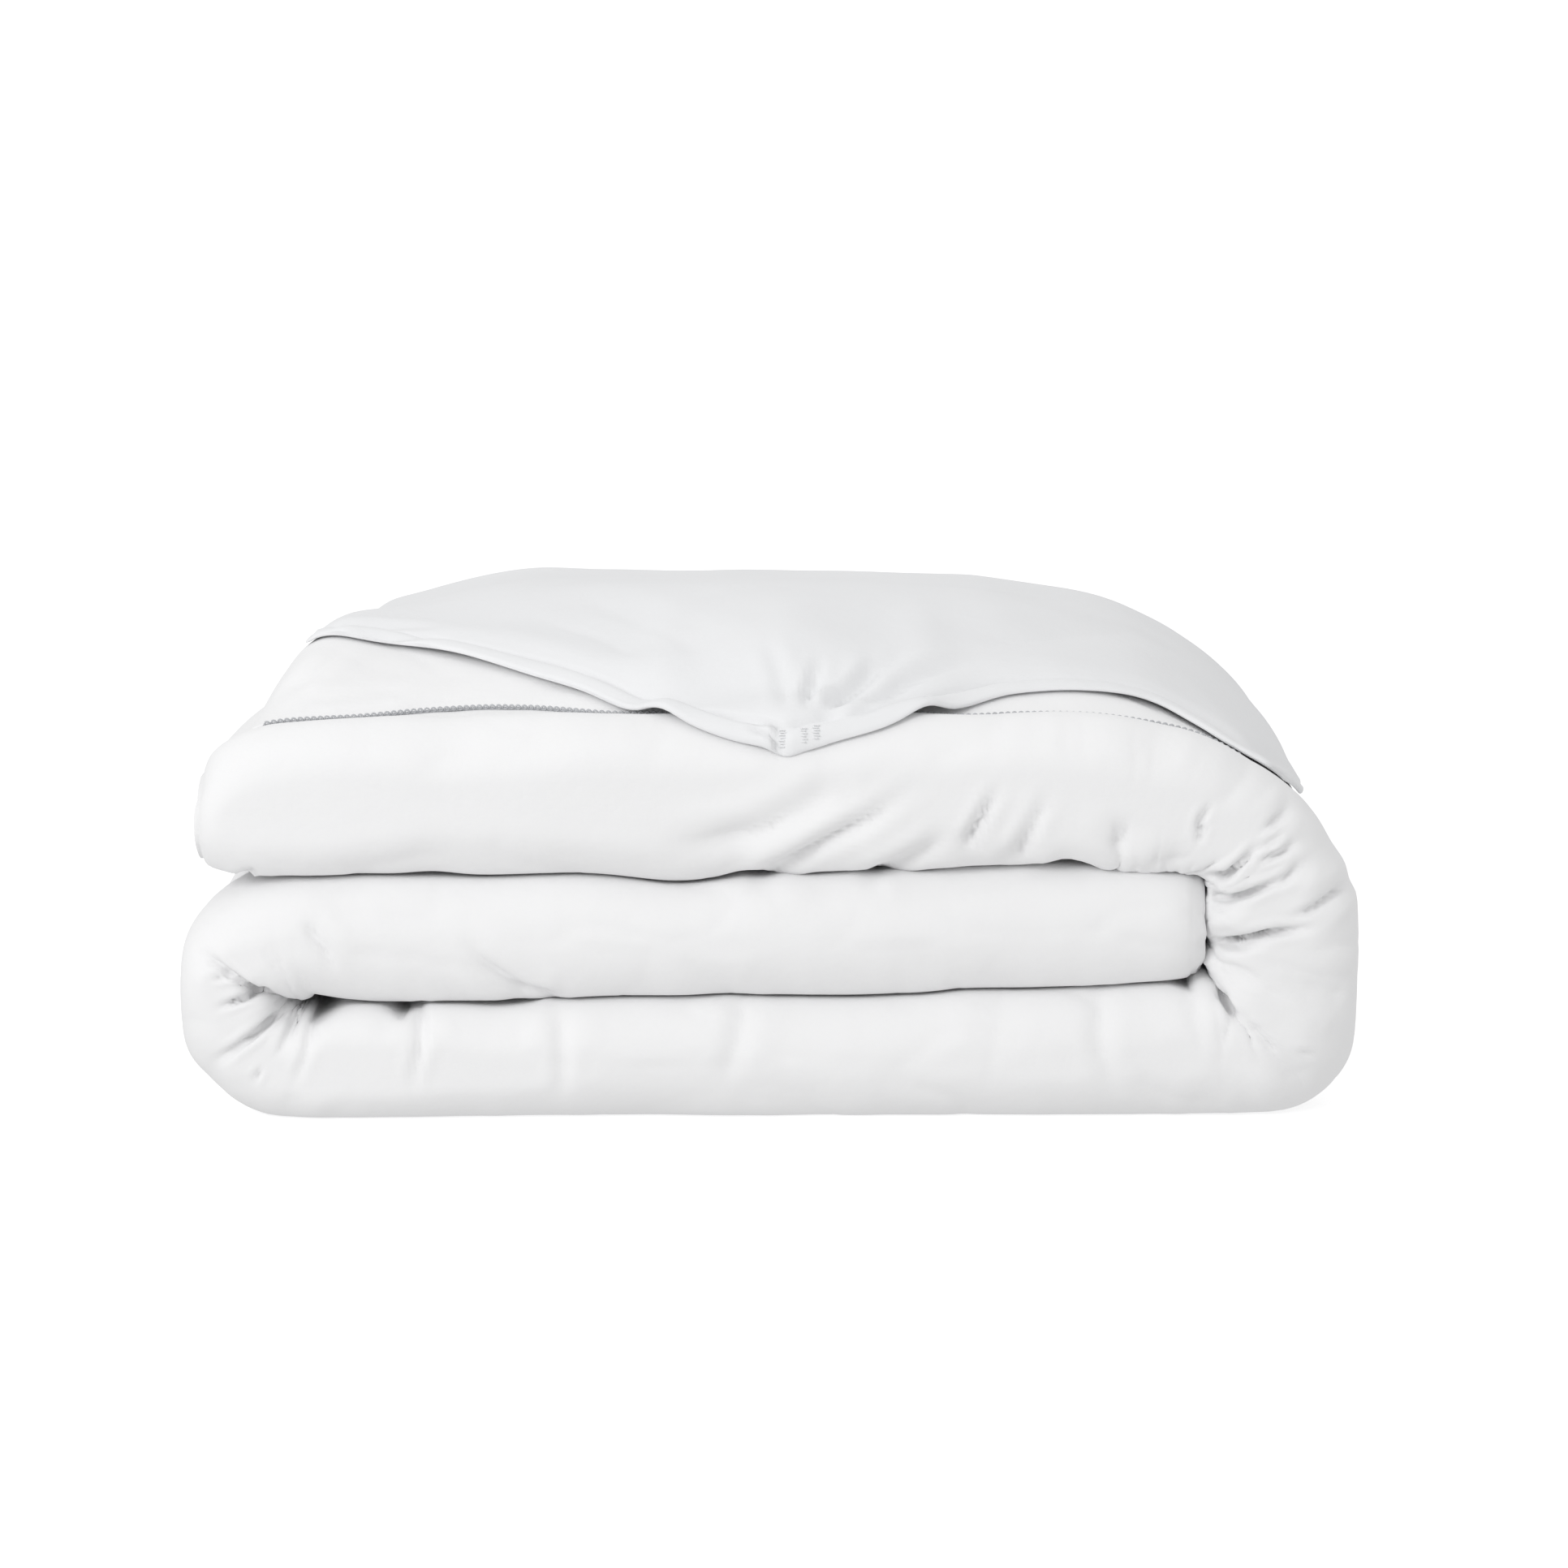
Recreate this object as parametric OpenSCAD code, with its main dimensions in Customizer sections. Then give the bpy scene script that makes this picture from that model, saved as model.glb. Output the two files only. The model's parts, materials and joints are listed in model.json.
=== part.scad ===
// Duvet in a cotton cover, folded for the shelf.
//
// A channel-quilted duvet inside its cover is folded in half to a long strip,
// with the fold at the front, and the strip is rolled: an inner run, a left
// bend, a bottom run, a right bend and a looser top run. The free end is laid
// back over the top as a return layer, folded at the back, and comes forward
// as a flap whose corner is drawn over the front edge.
//
// Frame: X along the runs, Y to the back, Z up, millimetres. The origin is the
// middle of the footprint, on the surface that the stack rests on.

/* [Folded stack] */
// Width over the left and right bends
stack_w = 660; // [640:5:700]
// Depth from the flap's corner to the back fold
stack_d = 480; // [460:5:520]
// Height of the flap's crown
stack_h = 280; // [276:1:290]
// Thickness of the bottom run and the inner run
run_t = 67.5; // [64:0.5:70]
// Thickness of the looser top run
top_t = 89; // [86:1:92]
// Thickness of the return layer over the top run
return_t = 18; // [16:1:20]

/* [Cloth] */
// Thickness of the cover's cotton
cover_t = 1.2; // [0.8:0.1:1.4]
// Thickness of the duvet's own ticking
ticking_t = 0.8; // [0.6:0.1:1.0]
// Air between one layer and the next
air = 0.2; // [0.1:0.05:0.3]
// Width of the sewn edge along the sides of the cover
seam_w = 4; // [3:0.5:5]

/* [Closure] */
// Depth of the unfilled hem at the foot end
hem_w = 34; // [32:1:40]
// Diameter of a cover button
button_d = 11.5; // [10:0.5:13]
// Buttons on each ply of the foot end
buttons_per_ply = 3; // [2:1:4]

/* [Flap] */
// Where the drawn corner sits along the front, from the middle
corner_x = 10; // [-20:5:30]
// How far the drawn corner hangs below the top run's upper face
corner_drop = 16; // [10:1:20]
// Width and thickness of the hemstitch's flat braid
cord_d = 2.4; // [2:0.1:3]

/* [Hidden] */
$fn = 96;

gap = 1;                       // between one run and the next
far = 900;                     // longer than anything here
air_over = 0.8;                // between the flap and what it lies on
hem_t = 2.4;                   // thickness of the flap's sewn hem
stitch_t = 0.6;                // height of a stitch
nose_lift = cord_d + 0.2 + air_over;
front_y = -stack_d / 2 + stitch_t + hem_t + nose_lift;   // front face of the runs
back_y = stack_d / 2;
ply_d = 34;                    // thickness of the fold at the front

// Heights of the runs
inner_z = run_t + gap;
top_z = 2 * run_t + 2 * gap;
roof_z = top_z + top_t;
fold_z = run_t + gap / 2;

// Ends of the runs along X
left_x = -stack_w / 2 + fold_z;
foot_x = 240;
head_x = -stack_w / 2 + 9;

// Right bend: each contour has a low arc and a high arc, with share f of the way out
reach = stack_w / 2;
hollow_r = 2;
hollow_x = foot_x + hollow_r + 1.2;
low_r = 76;
high_r = 150;
function mix(a, b, f) = a + (b - a) * f;
function bend_x(f) = mix(hollow_x, reach, f);
function low_arc(f) = mix(hollow_r, low_r, f);
function high_arc(f) = mix(hollow_r, high_r, f);
function floor_at(f) = run_t * (1 - f);
function roof_at(f) = mix(top_z, roof_z, f);

// Depths of the layers in a ply, from its face side and from its reverse side
skin = cover_t + air + ticking_t + air;
cleft = 0.4;                   // half the slit between the two plies
inner_skin = cleft + skin;
fill_back_y = back_y - seam_w - 1;

// Return layer and flap
return_y = front_y + 50;       // front edge of the return layer
return_x = -285;               // left end of the return layer
hinge_y = 197;                 // where the flap bends up
band_w = 60;                   // width of the hem band
shoulder_x = 174;              // arc that the return layer follows on the right
shoulder_z = 90;
shoulder_r = roof_z + return_t - shoulder_z;
tail_z = 150;                  // where both layers end on the right
function arc_r(run, drop) = (run * run + drop * drop) / (2 * drop);
flap_x = -262;                 // left end of the flap
crown_x = -20;                 // the flap's crown, and the arcs to both sides of it
left_crown_r = arc_r(crown_x - flap_x, stack_h - roof_z - return_t - 6);
right_crown_r = 912;
cape_r = 160;                  // arc of the flap over the right shoulder
cape_x = reach - cape_r;
cape_z = stack_h - right_crown_r + sqrt(pow(right_crown_r - cape_r, 2) - pow(cape_x - crown_x, 2));
nose_y = -40;                  // where the flap starts to fall towards the front
nose_r = arc_r(nose_y - front_y, stack_h - roof_z - nose_lift - 7);
slope_y = 15;                  // where the flap starts to fall towards the back
fold_h = 32;                   // height of the back fold over the roll
slope_r = arc_r(hinge_y - slope_y, stack_h - roof_z - fold_h);

// ---------------------------------------------------------------- profiles

// Everything inside a contour of the right bend, out to the left without end
module bend_blank(f, d) {
    r0 = low_arc(f) + d;
    r1 = high_arc(f) + d;
    x1 = bend_x(f) + d;
    z0 = floor_at(f) - d;
    z1 = roof_at(f) + d;
    translate([-far, z0]) square([far + x1 - r0, r0]);
    translate([-far, z0 + r0]) square([far + x1, max(z1 - r1 - z0 - r0, 0.01)]);
    translate([-far, z1 - r1]) square([far + x1 - r1, r1]);
    intersection() {
        translate([x1 - r0, z0 + r0]) circle(r0);
        translate([x1 - r0, z0 - 1]) square([r0 + 1, r0 + 1]);
    }
    intersection() {
        translate([x1 - r1, z1 - r1]) circle(r1);
        translate([x1 - r1, z1 - r1]) square(r1 + 1);
    }
}

// The strip between share f0 plus d0 and share f1 plus d1 of its thickness,
// counted from the inside of the roll
module strip(f0, d0, f1, d1) {
    // bottom run, right bend and top run
    intersection() {
        difference() {
            bend_blank(f1, d1);
            bend_blank(f0, d0);
        }
        union() {
            translate([left_x, -1]) square([far, fold_z + 1]);
            translate([head_x, fold_z]) square([far, far]);
        }
    }
    // left bend
    intersection() {
        difference() {
            translate([left_x, fold_z]) circle(gap / 2 + run_t * f1 + d1);
            translate([left_x, fold_z]) circle(gap / 2 + run_t * f0 + d0);
        }
        translate([left_x - far, -far / 2]) square([far, far]);
    }
    // inner run
    translate([left_x, inner_z + run_t * f0 + d0])
        square([foot_x - left_x, run_t * (f1 - f0) + d1 - d0]);
}

// What lies inside the windows, each one [x0, z0, x1, z1]
module windowed(windows) {
    intersection() {
        children();
        union()
            for (w = windows)
                translate([w[0], w[1]]) square([w[2] - w[0], w[3] - w[1]]);
    }
}

// A profile drawn in X and Z, drawn out from y0 to y1
module slab(y0, y1) {
    translate([0, y1, 0]) rotate([90, 0, 0]) linear_extrude(y1 - y0) children();
}

// ------------------------------------------------------------ rolled strip

// Leaves seam_w free at the foot end of the inner run and the head end of the top run
module without_ends() {
    difference() {
        children();
        translate([foot_x - seam_w, inner_z - gap / 2]) square([seam_w + 1, run_t + gap]);
        translate([head_x - 1, top_z - gap / 2]) square([seam_w + 1, top_t + gap]);
    }
}

// A cloth that wraps the outside of the folded strip, at depth d under its face
module face_cloth(d, t) {
    slab(front_y + d, back_y - seam_w) {
        without_ends() strip(0, d, 0, d + t);
        without_ends() strip(1, -d - t, 1, -d);
    }
    slab(front_y + d, front_y + d + t) without_ends() strip(0, d, 1, -d);
}

// A cloth that lines the inside of the folded strip, at depth d from its slit
module reverse_cloth(d, t) {
    slab(front_y + ply_d - d, back_y - seam_w) {
        without_ends() strip(0.5, -d - t, 0.5, -d);
        without_ends() strip(0.5, d, 0.5, d + t);
    }
    slab(front_y + ply_d - d - t, front_y + ply_d - d) without_ends() strip(0.5, -d - t, 0.5, d + t);
}

module cover_face_panel() {
    color("white") face_cloth(0, cover_t);
}

module cover_reverse_panel() {
    color("gainsboro") reverse_cloth(cleft, cover_t);
}

module ticking_face() {
    color("ivory") face_cloth(cover_t + air, ticking_t);
}

module ticking_reverse() {
    color("ivory") reverse_cloth(cleft + cover_t + air, ticking_t);
}

module side_seam_lower_ply() {
    color("white") slab(back_y - seam_w, back_y) without_ends()
        strip(0, 0, 0.5, -cleft);
}

module side_seam_upper_ply() {
    color("white") slab(back_y - seam_w, back_y) without_ends()
        strip(0.5, cleft, 1, 0);
}

// One end of the strip, sewn shut ply by ply
module end_seam(window) {
    slab(front_y, back_y) {
        windowed([window]) strip(0, 0, 0.5, -cleft);
        windowed([window]) strip(0.5, cleft, 1, 0);
    }
    slab(front_y, front_y + ply_d - cleft) windowed([window]) strip(0, 0, 1, 0);
}

module foot_hem() {
    color("white")
        end_seam([foot_x - seam_w, inner_z - gap / 2, foot_x, top_z - gap / 2]);
}

module head_seam() {
    color("white")
        end_seam([head_x, top_z - gap / 2, head_x + seam_w, far]);
}

// ----------------------------------------------------------------- closure

placket_t = 0.8;
placket_w = 24;
placket_y0 = -150;
placket_y1 = 190;
button_t = 2.6;
button_x = foot_x - seam_w - placket_w / 2;
function inner_run_at(f) = inner_z + run_t * f;

// Underlap and overlap of the foot opening, one pair in each ply
module closure_placket() {
    color("white")
        for (f = [0.25, 0.75], side = [-1, 1])
            translate([foot_x - seam_w - placket_w, placket_y0, inner_run_at(f) + side * 0.6 - placket_t / 2])
                cube([placket_w, placket_y1 - placket_y0, placket_t]);
}

// A four-hole button with a rim
module button() {
    difference() {
        rotate_extrude() {
            square([button_d / 2, button_t * 0.7]);
            translate([button_d / 2 - 1.4, 0]) square([1.4, button_t]);
        }
        for (a = [45:90:315])
            rotate(a) translate([1.7, 0, -1]) cylinder(h = button_t + 2, r = 0.7, $fn = 24);
    }
}

module cover_buttons() {
    pitch = (placket_y1 - placket_y0) / buttons_per_ply;
    color("whitesmoke")
        for (f = [0.25, 0.75], i = [0:buttons_per_ply - 1])
            translate([button_x, placket_y0 + pitch * (i + 0.5), inner_run_at(f) + 1.2])
                button();
}

// Tapes that hold the duvet's corners in the cover's corners
module corner_ties() {
    tape = [22, 8, 1];
    color("white") {
        for (f = [0.25, 0.75]) {
            translate([foot_x - seam_w - tape[0], 205, inner_run_at(f) - 5]) cube(tape);
            translate([head_x + seam_w, 205, roof_at(f)]) cube([9, tape[1], tape[2]]);
        }
    }
}

// Blank label in the slit between the plies of the top run
module care_label() {
    color("white") translate([-150, 190, roof_at(0.5) - 0.2]) cube([30, 40, 0.4]);
}

// ------------------------------------------------------------ quilted fill

wall_t = 0.8;
wall_air = 0.2;
head_fill_x = head_x + seam_w + 10;
foot_fill_x = foot_x - hem_w;
lower_bend_x = reach - low_r;
upper_bend_x = reach - high_r;
inner_pitch = (foot_fill_x - left_x) / 3;
bottom_pitch = (lower_bend_x - left_x) / 3;
top_pitch = (upper_bend_x - head_fill_x) / 3;
split_z = 104;
low = fold_z;
mid = top_z - gap / 2;

// Windows of the channels, from the foot end to the head end
channels = [
    [[foot_fill_x - inner_pitch, low, foot_fill_x, mid]],
    [[left_x + inner_pitch, low, foot_fill_x - inner_pitch, mid]],
    [[left_x, low, left_x + inner_pitch, mid]],
    [[-far, -far, left_x, mid]],
    [[left_x, -far, left_x + bottom_pitch, low]],
    [[left_x + bottom_pitch, -far, left_x + 2 * bottom_pitch, low]],
    [[left_x + 2 * bottom_pitch, -far, lower_bend_x, low]],
    [[lower_bend_x, -far, far, split_z]],
    [[foot_x + 0.5, split_z, far, mid + 9], [upper_bend_x, mid, far, far]],
    [[upper_bend_x - top_pitch, mid, upper_bend_x, far]],
    [[upper_bend_x - 2 * top_pitch, mid, upper_bend_x - top_pitch, far]],
    [[head_fill_x, mid, upper_bend_x - 2 * top_pitch, far]]
];

// What fills both plies and the fold at the front, inside the windows
module quilt_part(windows) {
    slab(front_y + skin, fill_back_y) {
        windowed(windows) strip(0, skin, 0.5, -inner_skin);
        windowed(windows) strip(0.5, inner_skin, 1, -skin);
    }
    slab(front_y + skin, front_y + ply_d - inner_skin) windowed(windows) strip(0, skin, 1, -skin);
}

// The fill of one channel, clear of the walls on both sides
module fill_channel(i) {
    d = wall_t / 2 + wall_air;
    color("snow")
        quilt_part([for (w = channels[i]) [w[0] + d, w[1] + d, w[2] - d, w[3] - d]]);
}

// The cloth walls between the channels
module baffle_walls() {
    t = wall_t / 2;
    color("ivory") {
        for (x = [left_x, left_x + inner_pitch, foot_fill_x - inner_pitch])
            quilt_part([[x - t, low, x + t, mid]]);
        for (x = [left_x, left_x + bottom_pitch, left_x + 2 * bottom_pitch, lower_bend_x])
            quilt_part([[x - t, -far, x + t, low]]);
        quilt_part([[lower_bend_x, split_z - t, far, split_z + t]]);
        for (i = [0:2])
            quilt_part([[upper_bend_x - i * top_pitch - t, mid, upper_bend_x - i * top_pitch + t, far]]);
    }
}

// ------------------------------------------------ return layer, back fold

// Points on a circle round [cx, cz], from angle a0 to a1, both from the vertical
function arc(cx, cz, r, a0, a1, n) =
    [for (i = [0:n]) let (a = mix(a0, a1, i / n)) [cx + r * sin(a), cz + r * cos(a)]];

// Everything under the return layer's upper face, raised by d
module under_return(d) {
    polygon(concat(
        [[-far, -far], [-far, roof_z + return_t + d]],
        arc(shoulder_x, shoulder_z, shoulder_r + d, 0, 90, 18),
        [[shoulder_x + shoulder_r + d, -far]]
    ));
}

// Everything under the flap's upper face, raised by d
module under_flap(d) {
    a0 = -asin((crown_x - return_x + 5) / left_crown_r);
    a1 = asin((cape_x - crown_x) / (right_crown_r - cape_r));
    polygon(concat(
        [[return_x - 5, -far]],
        arc(crown_x, stack_h - left_crown_r, left_crown_r + d, a0, 0, 10),
        arc(crown_x, stack_h - right_crown_r, right_crown_r + d, a1 / 10, a1, 9),
        arc(cape_x, cape_z, cape_r + d, a1 + 5, 90, 15),
        [[cape_x + cape_r + d, -far]]
    ));
}

// What lies over the top of the roll, from x0 to the right, down to the tail
module over_top(x0) {
    intersection() {
        children();
        translate([x0, tail_z]) square(far);
    }
}

lining_d = 2 * air + cover_t;  // depth of the return layer's lower cloth over the roll

module return_lower_panel() {
    color("gainsboro") slab(return_y, hinge_y - 1) over_top(return_x) intersection() {
        difference() {
            bend_blank(1, air + cover_t);
            bend_blank(1, air);
        }
        under_return(-cover_t - air);
    }
}

module return_fill() {
    color("snow") slab(return_y + cover_t + air, hinge_y - 1) over_top(return_x + cover_t + air)
        difference() {
            under_return(-cover_t - air);
            bend_blank(1, lining_d);
        }
}

// The return layer's upper cloth between y0 and y1, with its end wall
module return_cloth(y0, y1) {
    slab(y0, y1) over_top(return_x) difference() {
        under_return(0);
        intersection() {
            under_return(-cover_t);
            translate([return_x + cover_t, -far]) square(2 * far);
        }
        bend_blank(1, lining_d);
    }
}

module return_upper_panel() {
    color("white") return_cloth(return_y + band_w, hinge_y - 1);
}

module hem_band() {
    color("white") {
        return_cloth(return_y, return_y + band_w - air);
        slab(return_y, return_y + cover_t) over_top(return_x) difference() {
            under_return(0);
            bend_blank(1, lining_d);
        }
    }
}

// Flat braid of the hemstitch, along the foot of the band and down the right shoulder
module hemstitch_cord() {
    color("silver") slab(return_y - cord_d - air, return_y - air) over_top(return_x) difference() {
        bend_blank(1, cord_d + air);
        bend_blank(1, air);
    }
}

// A profile drawn in Y and Z, drawn out from x0 to x1
module plank(x0, x1) {
    translate([x0, 0, 0]) rotate([90, 0, 90]) linear_extrude(x1 - x0) children();
}

// The back fold, shrunk by d all over
module back_fold(d) {
    fold_r = fold_h / 2;
    difference() {
        intersection() {
            slab(hinge_y, back_y) over_top(return_x + d) under_flap(-d);
            plank(-far, far) polygon(concat(
                [[hinge_y - 1, 0], [hinge_y - 1, roof_z + fold_h - d]],
                arc(back_y - fold_r, roof_z + fold_r, fold_r - d, 0, 90, 9),
                [[back_y - d, 0]]
            ));
        }
        slab(hinge_y - 1, back_y + 1) bend_blank(1, air);
    }
}

module back_fold_panel() {
    color("white") difference() {
        back_fold(0);
        back_fold(cover_t);
    }
}

module back_fold_fill() {
    color("snow") back_fold(cover_t + air);
}

// -------------------------------------------------------------------- flap

tip_z = roof_z - corner_drop;
hem_d = 15;                    // width of the flap's sewn hem
behind = 9;                    // how far the padding stays behind the drawn corner
tip_half = 26;

// Front edge of the flap seen from above, from the left end to the drawn corner and on
edge = [
    [flap_x, -74], [-215, -92], [-176, -113], [-145, -138], [-118, -156], [-72, -173],
    [-42, -190], [corner_x - 36, -209], [corner_x - 24, -222], [corner_x - 15, -far],
    [corner_x + 15, -far], [corner_x + 24, -222], [corner_x + 38, -209], [76, -190],
    [104, -173], [154, -157], [203, -147], [far, -147]
];

// The flap's outline seen from above, with the front edge moved back by d
module outline(d) {
    front = d > 0 ? front_y - behind + d : -far;
    translate([0, 0, -1]) linear_extrude(stack_h + 20) intersection() {
        polygon(concat([for (p = edge) [p[0], p[1] + 1.25 * d]], [[far, far], [flap_x, far]]));
        translate([flap_x + d, front]) square(2 * far);
    }
}

// The hanging tip of the corner seen from the front
module tip_window() {
    slab(-far, far) polygon([
        [-far, far], [-far, roof_z + 1], [corner_x - tip_half, roof_z + 1], [corner_x - 7, tip_z + 3],
        [corner_x, tip_z], [corner_x + 7, tip_z + 3], [corner_x + tip_half, roof_z + 1],
        [shoulder_x - 20, roof_z + 1], [shoulder_x - 20, tail_z], [far, tail_z], [far, far]
    ]);
}

// Everything that the flap lies on, raised by d
module rest_of_stack(d) {
    slab(return_y - air_over - d, back_y) under_return(air_over + d);
    slab(front_y - nose_lift - d, back_y - 1)
        translate([-far, -far]) square([far + shoulder_x - 20, far + roof_z + nose_lift + d]);
}

// The room that the flap takes up under its upper face, back to rear_y, shrunk
// by high_d from above and by edge_d along its edge
module flap_room(high_d, edge_d, rear_y) {
    intersection() {
        slab(-stack_d, rear_y) under_flap(-high_d);
        plank(-far, far) polygon(concat(
            [[-far, -far]],
            arc(nose_y, stack_h - nose_r, nose_r - high_d, -32, 0, 10),
            arc(slope_y, stack_h - slope_r, slope_r - high_d, 0, 20, 8),
            [[far, -far]]
        ));
        outline(edge_d);
        tip_window();
    }
}

rear_y = hinge_y - 1;

module flap_lower_panel() {
    color("gainsboro") difference() {
        intersection() {
            flap_room(cover_t + air, hem_d, rear_y);
            rest_of_stack(cover_t);
        }
        rest_of_stack(0);
    }
}

module flap_fill() {
    color("snow") difference() {
        flap_room(cover_t + air, hem_d + cover_t + air, rear_y);
        rest_of_stack(cover_t + air);
    }
}

module flap_upper_panel() {
    color("white") difference() {
        flap_room(0, hem_d, rear_y);
        flap_room(cover_t, hem_d + cover_t, hinge_y + 9);
        rest_of_stack(cover_t + air);
    }
}

// The sewn double hem round the flap's front edge, with the drawn corner
module flap_hem() {
    color("white") difference() {
        intersection() {
            flap_room(0, 0, rear_y);
            rest_of_stack(hem_t);
        }
        rest_of_stack(0);
        outline(hem_d - air);
    }
}

// Bar tacks across the hem at the drawn corner
module corner_stitches() {
    face_y = -stack_d / 2;
    color("silver")
        for (i = [-1:1])
            translate([corner_x + 2.4 * i - 0.6, face_y, roof_z - 10]) cube([1.2, stitch_t, 9]);
}

cover_face_panel();
cover_reverse_panel();
side_seam_lower_ply();
side_seam_upper_ply();
foot_hem();
closure_placket();
cover_buttons();
head_seam();
corner_ties();
care_label();
ticking_face();
ticking_reverse();
baffle_walls();
fill_channel(0);  // fill_channel_01
fill_channel(1);  // fill_channel_02
fill_channel(2);  // fill_channel_03
fill_channel(3);  // fill_channel_04
fill_channel(4);  // fill_channel_05
fill_channel(5);  // fill_channel_06
fill_channel(6);  // fill_channel_07
fill_channel(7);  // fill_channel_08
fill_channel(8);  // fill_channel_09
fill_channel(9);  // fill_channel_10
fill_channel(10);  // fill_channel_11
fill_channel(11);  // fill_channel_12
return_lower_panel();
return_fill();
return_upper_panel();
hem_band();
hemstitch_cord();
back_fold_panel();
back_fold_fill();
flap_lower_panel();
flap_fill();
flap_upper_panel();
flap_hem();
corner_stitches();
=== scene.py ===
import json
import math

import bpy
import numpy as np
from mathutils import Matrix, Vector


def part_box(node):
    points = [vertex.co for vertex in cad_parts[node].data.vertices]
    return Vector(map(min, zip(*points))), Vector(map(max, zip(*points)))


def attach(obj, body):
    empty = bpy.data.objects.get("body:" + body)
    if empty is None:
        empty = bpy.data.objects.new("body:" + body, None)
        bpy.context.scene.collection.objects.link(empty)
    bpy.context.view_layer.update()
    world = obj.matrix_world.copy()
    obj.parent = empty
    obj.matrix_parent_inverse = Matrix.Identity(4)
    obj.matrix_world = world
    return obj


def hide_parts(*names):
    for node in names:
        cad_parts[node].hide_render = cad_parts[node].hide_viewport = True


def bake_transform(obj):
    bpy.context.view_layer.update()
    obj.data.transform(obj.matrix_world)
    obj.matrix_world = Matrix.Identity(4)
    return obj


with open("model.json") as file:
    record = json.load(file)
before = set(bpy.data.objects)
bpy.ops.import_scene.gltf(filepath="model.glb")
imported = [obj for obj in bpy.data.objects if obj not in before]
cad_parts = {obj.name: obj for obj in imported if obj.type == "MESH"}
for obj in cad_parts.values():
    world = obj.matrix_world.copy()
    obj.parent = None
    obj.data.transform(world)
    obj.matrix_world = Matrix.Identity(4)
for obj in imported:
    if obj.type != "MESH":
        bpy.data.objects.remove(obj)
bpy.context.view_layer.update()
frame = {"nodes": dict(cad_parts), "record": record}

# Lengths in the making of shapes are millimetres in the CAD's frame: X along the
# runs, Y to the back, Z up. Meshes are written in metres.
MM = 0.001
FRONT, BACK = -238.0, 238.0
# the middle of the left bend
LEFT_X = -262.0
HINGE_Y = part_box("flap_upper_panel")[1][1] / MM


# The camera looks at a point over the front edge, from the front and a little above.
ELEVATION = math.radians(10)
AWAY = 2600.0
LOOK_AT = (7.2, -240.0, 194.6)


def seen(x, y, z):
    """Where a point shows from the camera: across and up, in mm at the front's distance."""
    across, deep, up = x - LOOK_AT[0], y - LOOK_AT[1], z - LOOK_AT[2]
    far = AWAY + deep * math.cos(ELEVATION) - up * math.sin(ELEVATION)
    up_seen = up * math.cos(ELEVATION) + deep * math.sin(ELEVATION)
    return LOOK_AT[0] + across * AWAY / far, LOOK_AT[2] - 3 + up_seen * AWAY / far


# ------------------------------------------------------------------ numbers

def ease(a, b, x):
    t = np.clip((np.asarray(x, float) - a) / (b - a), 0, 1)
    return t * t * (3 - 2 * t)


def drift(x, y, size_x, size_y, seed):
    """Smooth noise between about -1 and 1."""
    table = np.random.RandomState(seed).uniform(-1, 1, (97, 89))
    gx, gy = np.asarray(x, float) / size_x + 31.7, np.asarray(y, float) / size_y + 17.3
    gx, gy = np.broadcast_arrays(gx, gy)
    i, j = np.floor(gx).astype(int), np.floor(gy).astype(int)
    fx, fy = gx - i, gy - j
    fx, fy = fx * fx * (3 - 2 * fx), fy * fy * (3 - 2 * fy)
    a, b = table[i % 97, j % 89], table[(i + 1) % 97, j % 89]
    c, d = table[i % 97, (j + 1) % 89], table[(i + 1) % 97, (j + 1) % 89]
    return (a * (1 - fx) + b * fx) * (1 - fy) + (c * (1 - fx) + d * fx) * fy


def size(v):
    return np.sqrt((v * v).sum(-1))


def along(points):
    """Distance along a line of points, from 0."""
    return np.concatenate([[0], np.cumsum(size(np.diff(points, axis=0)))])


def blur(a, width, steps=3):
    """Moving average along the first axis, ends kept."""
    a = np.array(a, float)
    for _ in range(steps):
        pad = np.concatenate([2 * a[:1] - a[width:0:-1], a, 2 * a[-1:] - a[-2:-width - 2:-1]])
        total = np.cumsum(np.concatenate([np.zeros_like(pad[:1]), pad]), axis=0)
        n = 2 * width + 1
        a = (total[n:] - total[:-n]) / n
    return a


def knots(points, soft=9, waver=0.0, seed=1):
    """A smooth function through the knots, with a small waver if one is wanted."""
    xs, ys = np.array(points, float).T
    fine = np.linspace(xs[0], xs[-1], 400)
    vals = blur(np.interp(fine, xs, ys), soft) if soft else np.interp(fine, xs, ys)
    vals = vals + waver * drift(fine, 0, 34, 1, seed)
    return lambda x: np.interp(x, fine, vals)


def bump(x, at, width):
    return np.exp(-((np.asarray(x, float) - at) / width) ** 2)


def quadrant(cx, cz, rx, rz, n, a0, a1, count):
    """Superellipse points from angle a0 to a1 in degrees, from +X towards +Z."""
    a = np.radians(np.linspace(a0, a1, count))
    c, s = np.cos(a), np.sin(a)
    return np.stack([cx + rx * np.sign(c) * abs(c) ** (2 / n),
                     cz + rz * np.sign(s) * abs(s) ** (2 / n)], -1)


def evenly(points, count):
    d = along(points)
    t = np.linspace(0, d[-1], count)
    return np.stack([np.interp(t, d, points[:, k]) for k in range(points.shape[1])], -1)


# -------------------------------------------------------------- cloth shapes

def normals(p):
    """Outward normals of a closed tube p[along, around, xyz]."""
    du = np.empty_like(p)
    du[1:-1] = p[2:] - p[:-2]
    du[0], du[-1] = p[1] - p[0], p[-1] - p[-2]
    dv = np.roll(p, -1, 1) - np.roll(p, 1, 1)
    n = np.cross(dv, du)
    return n / np.maximum(size(n), 1e-9)[..., None]


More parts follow.
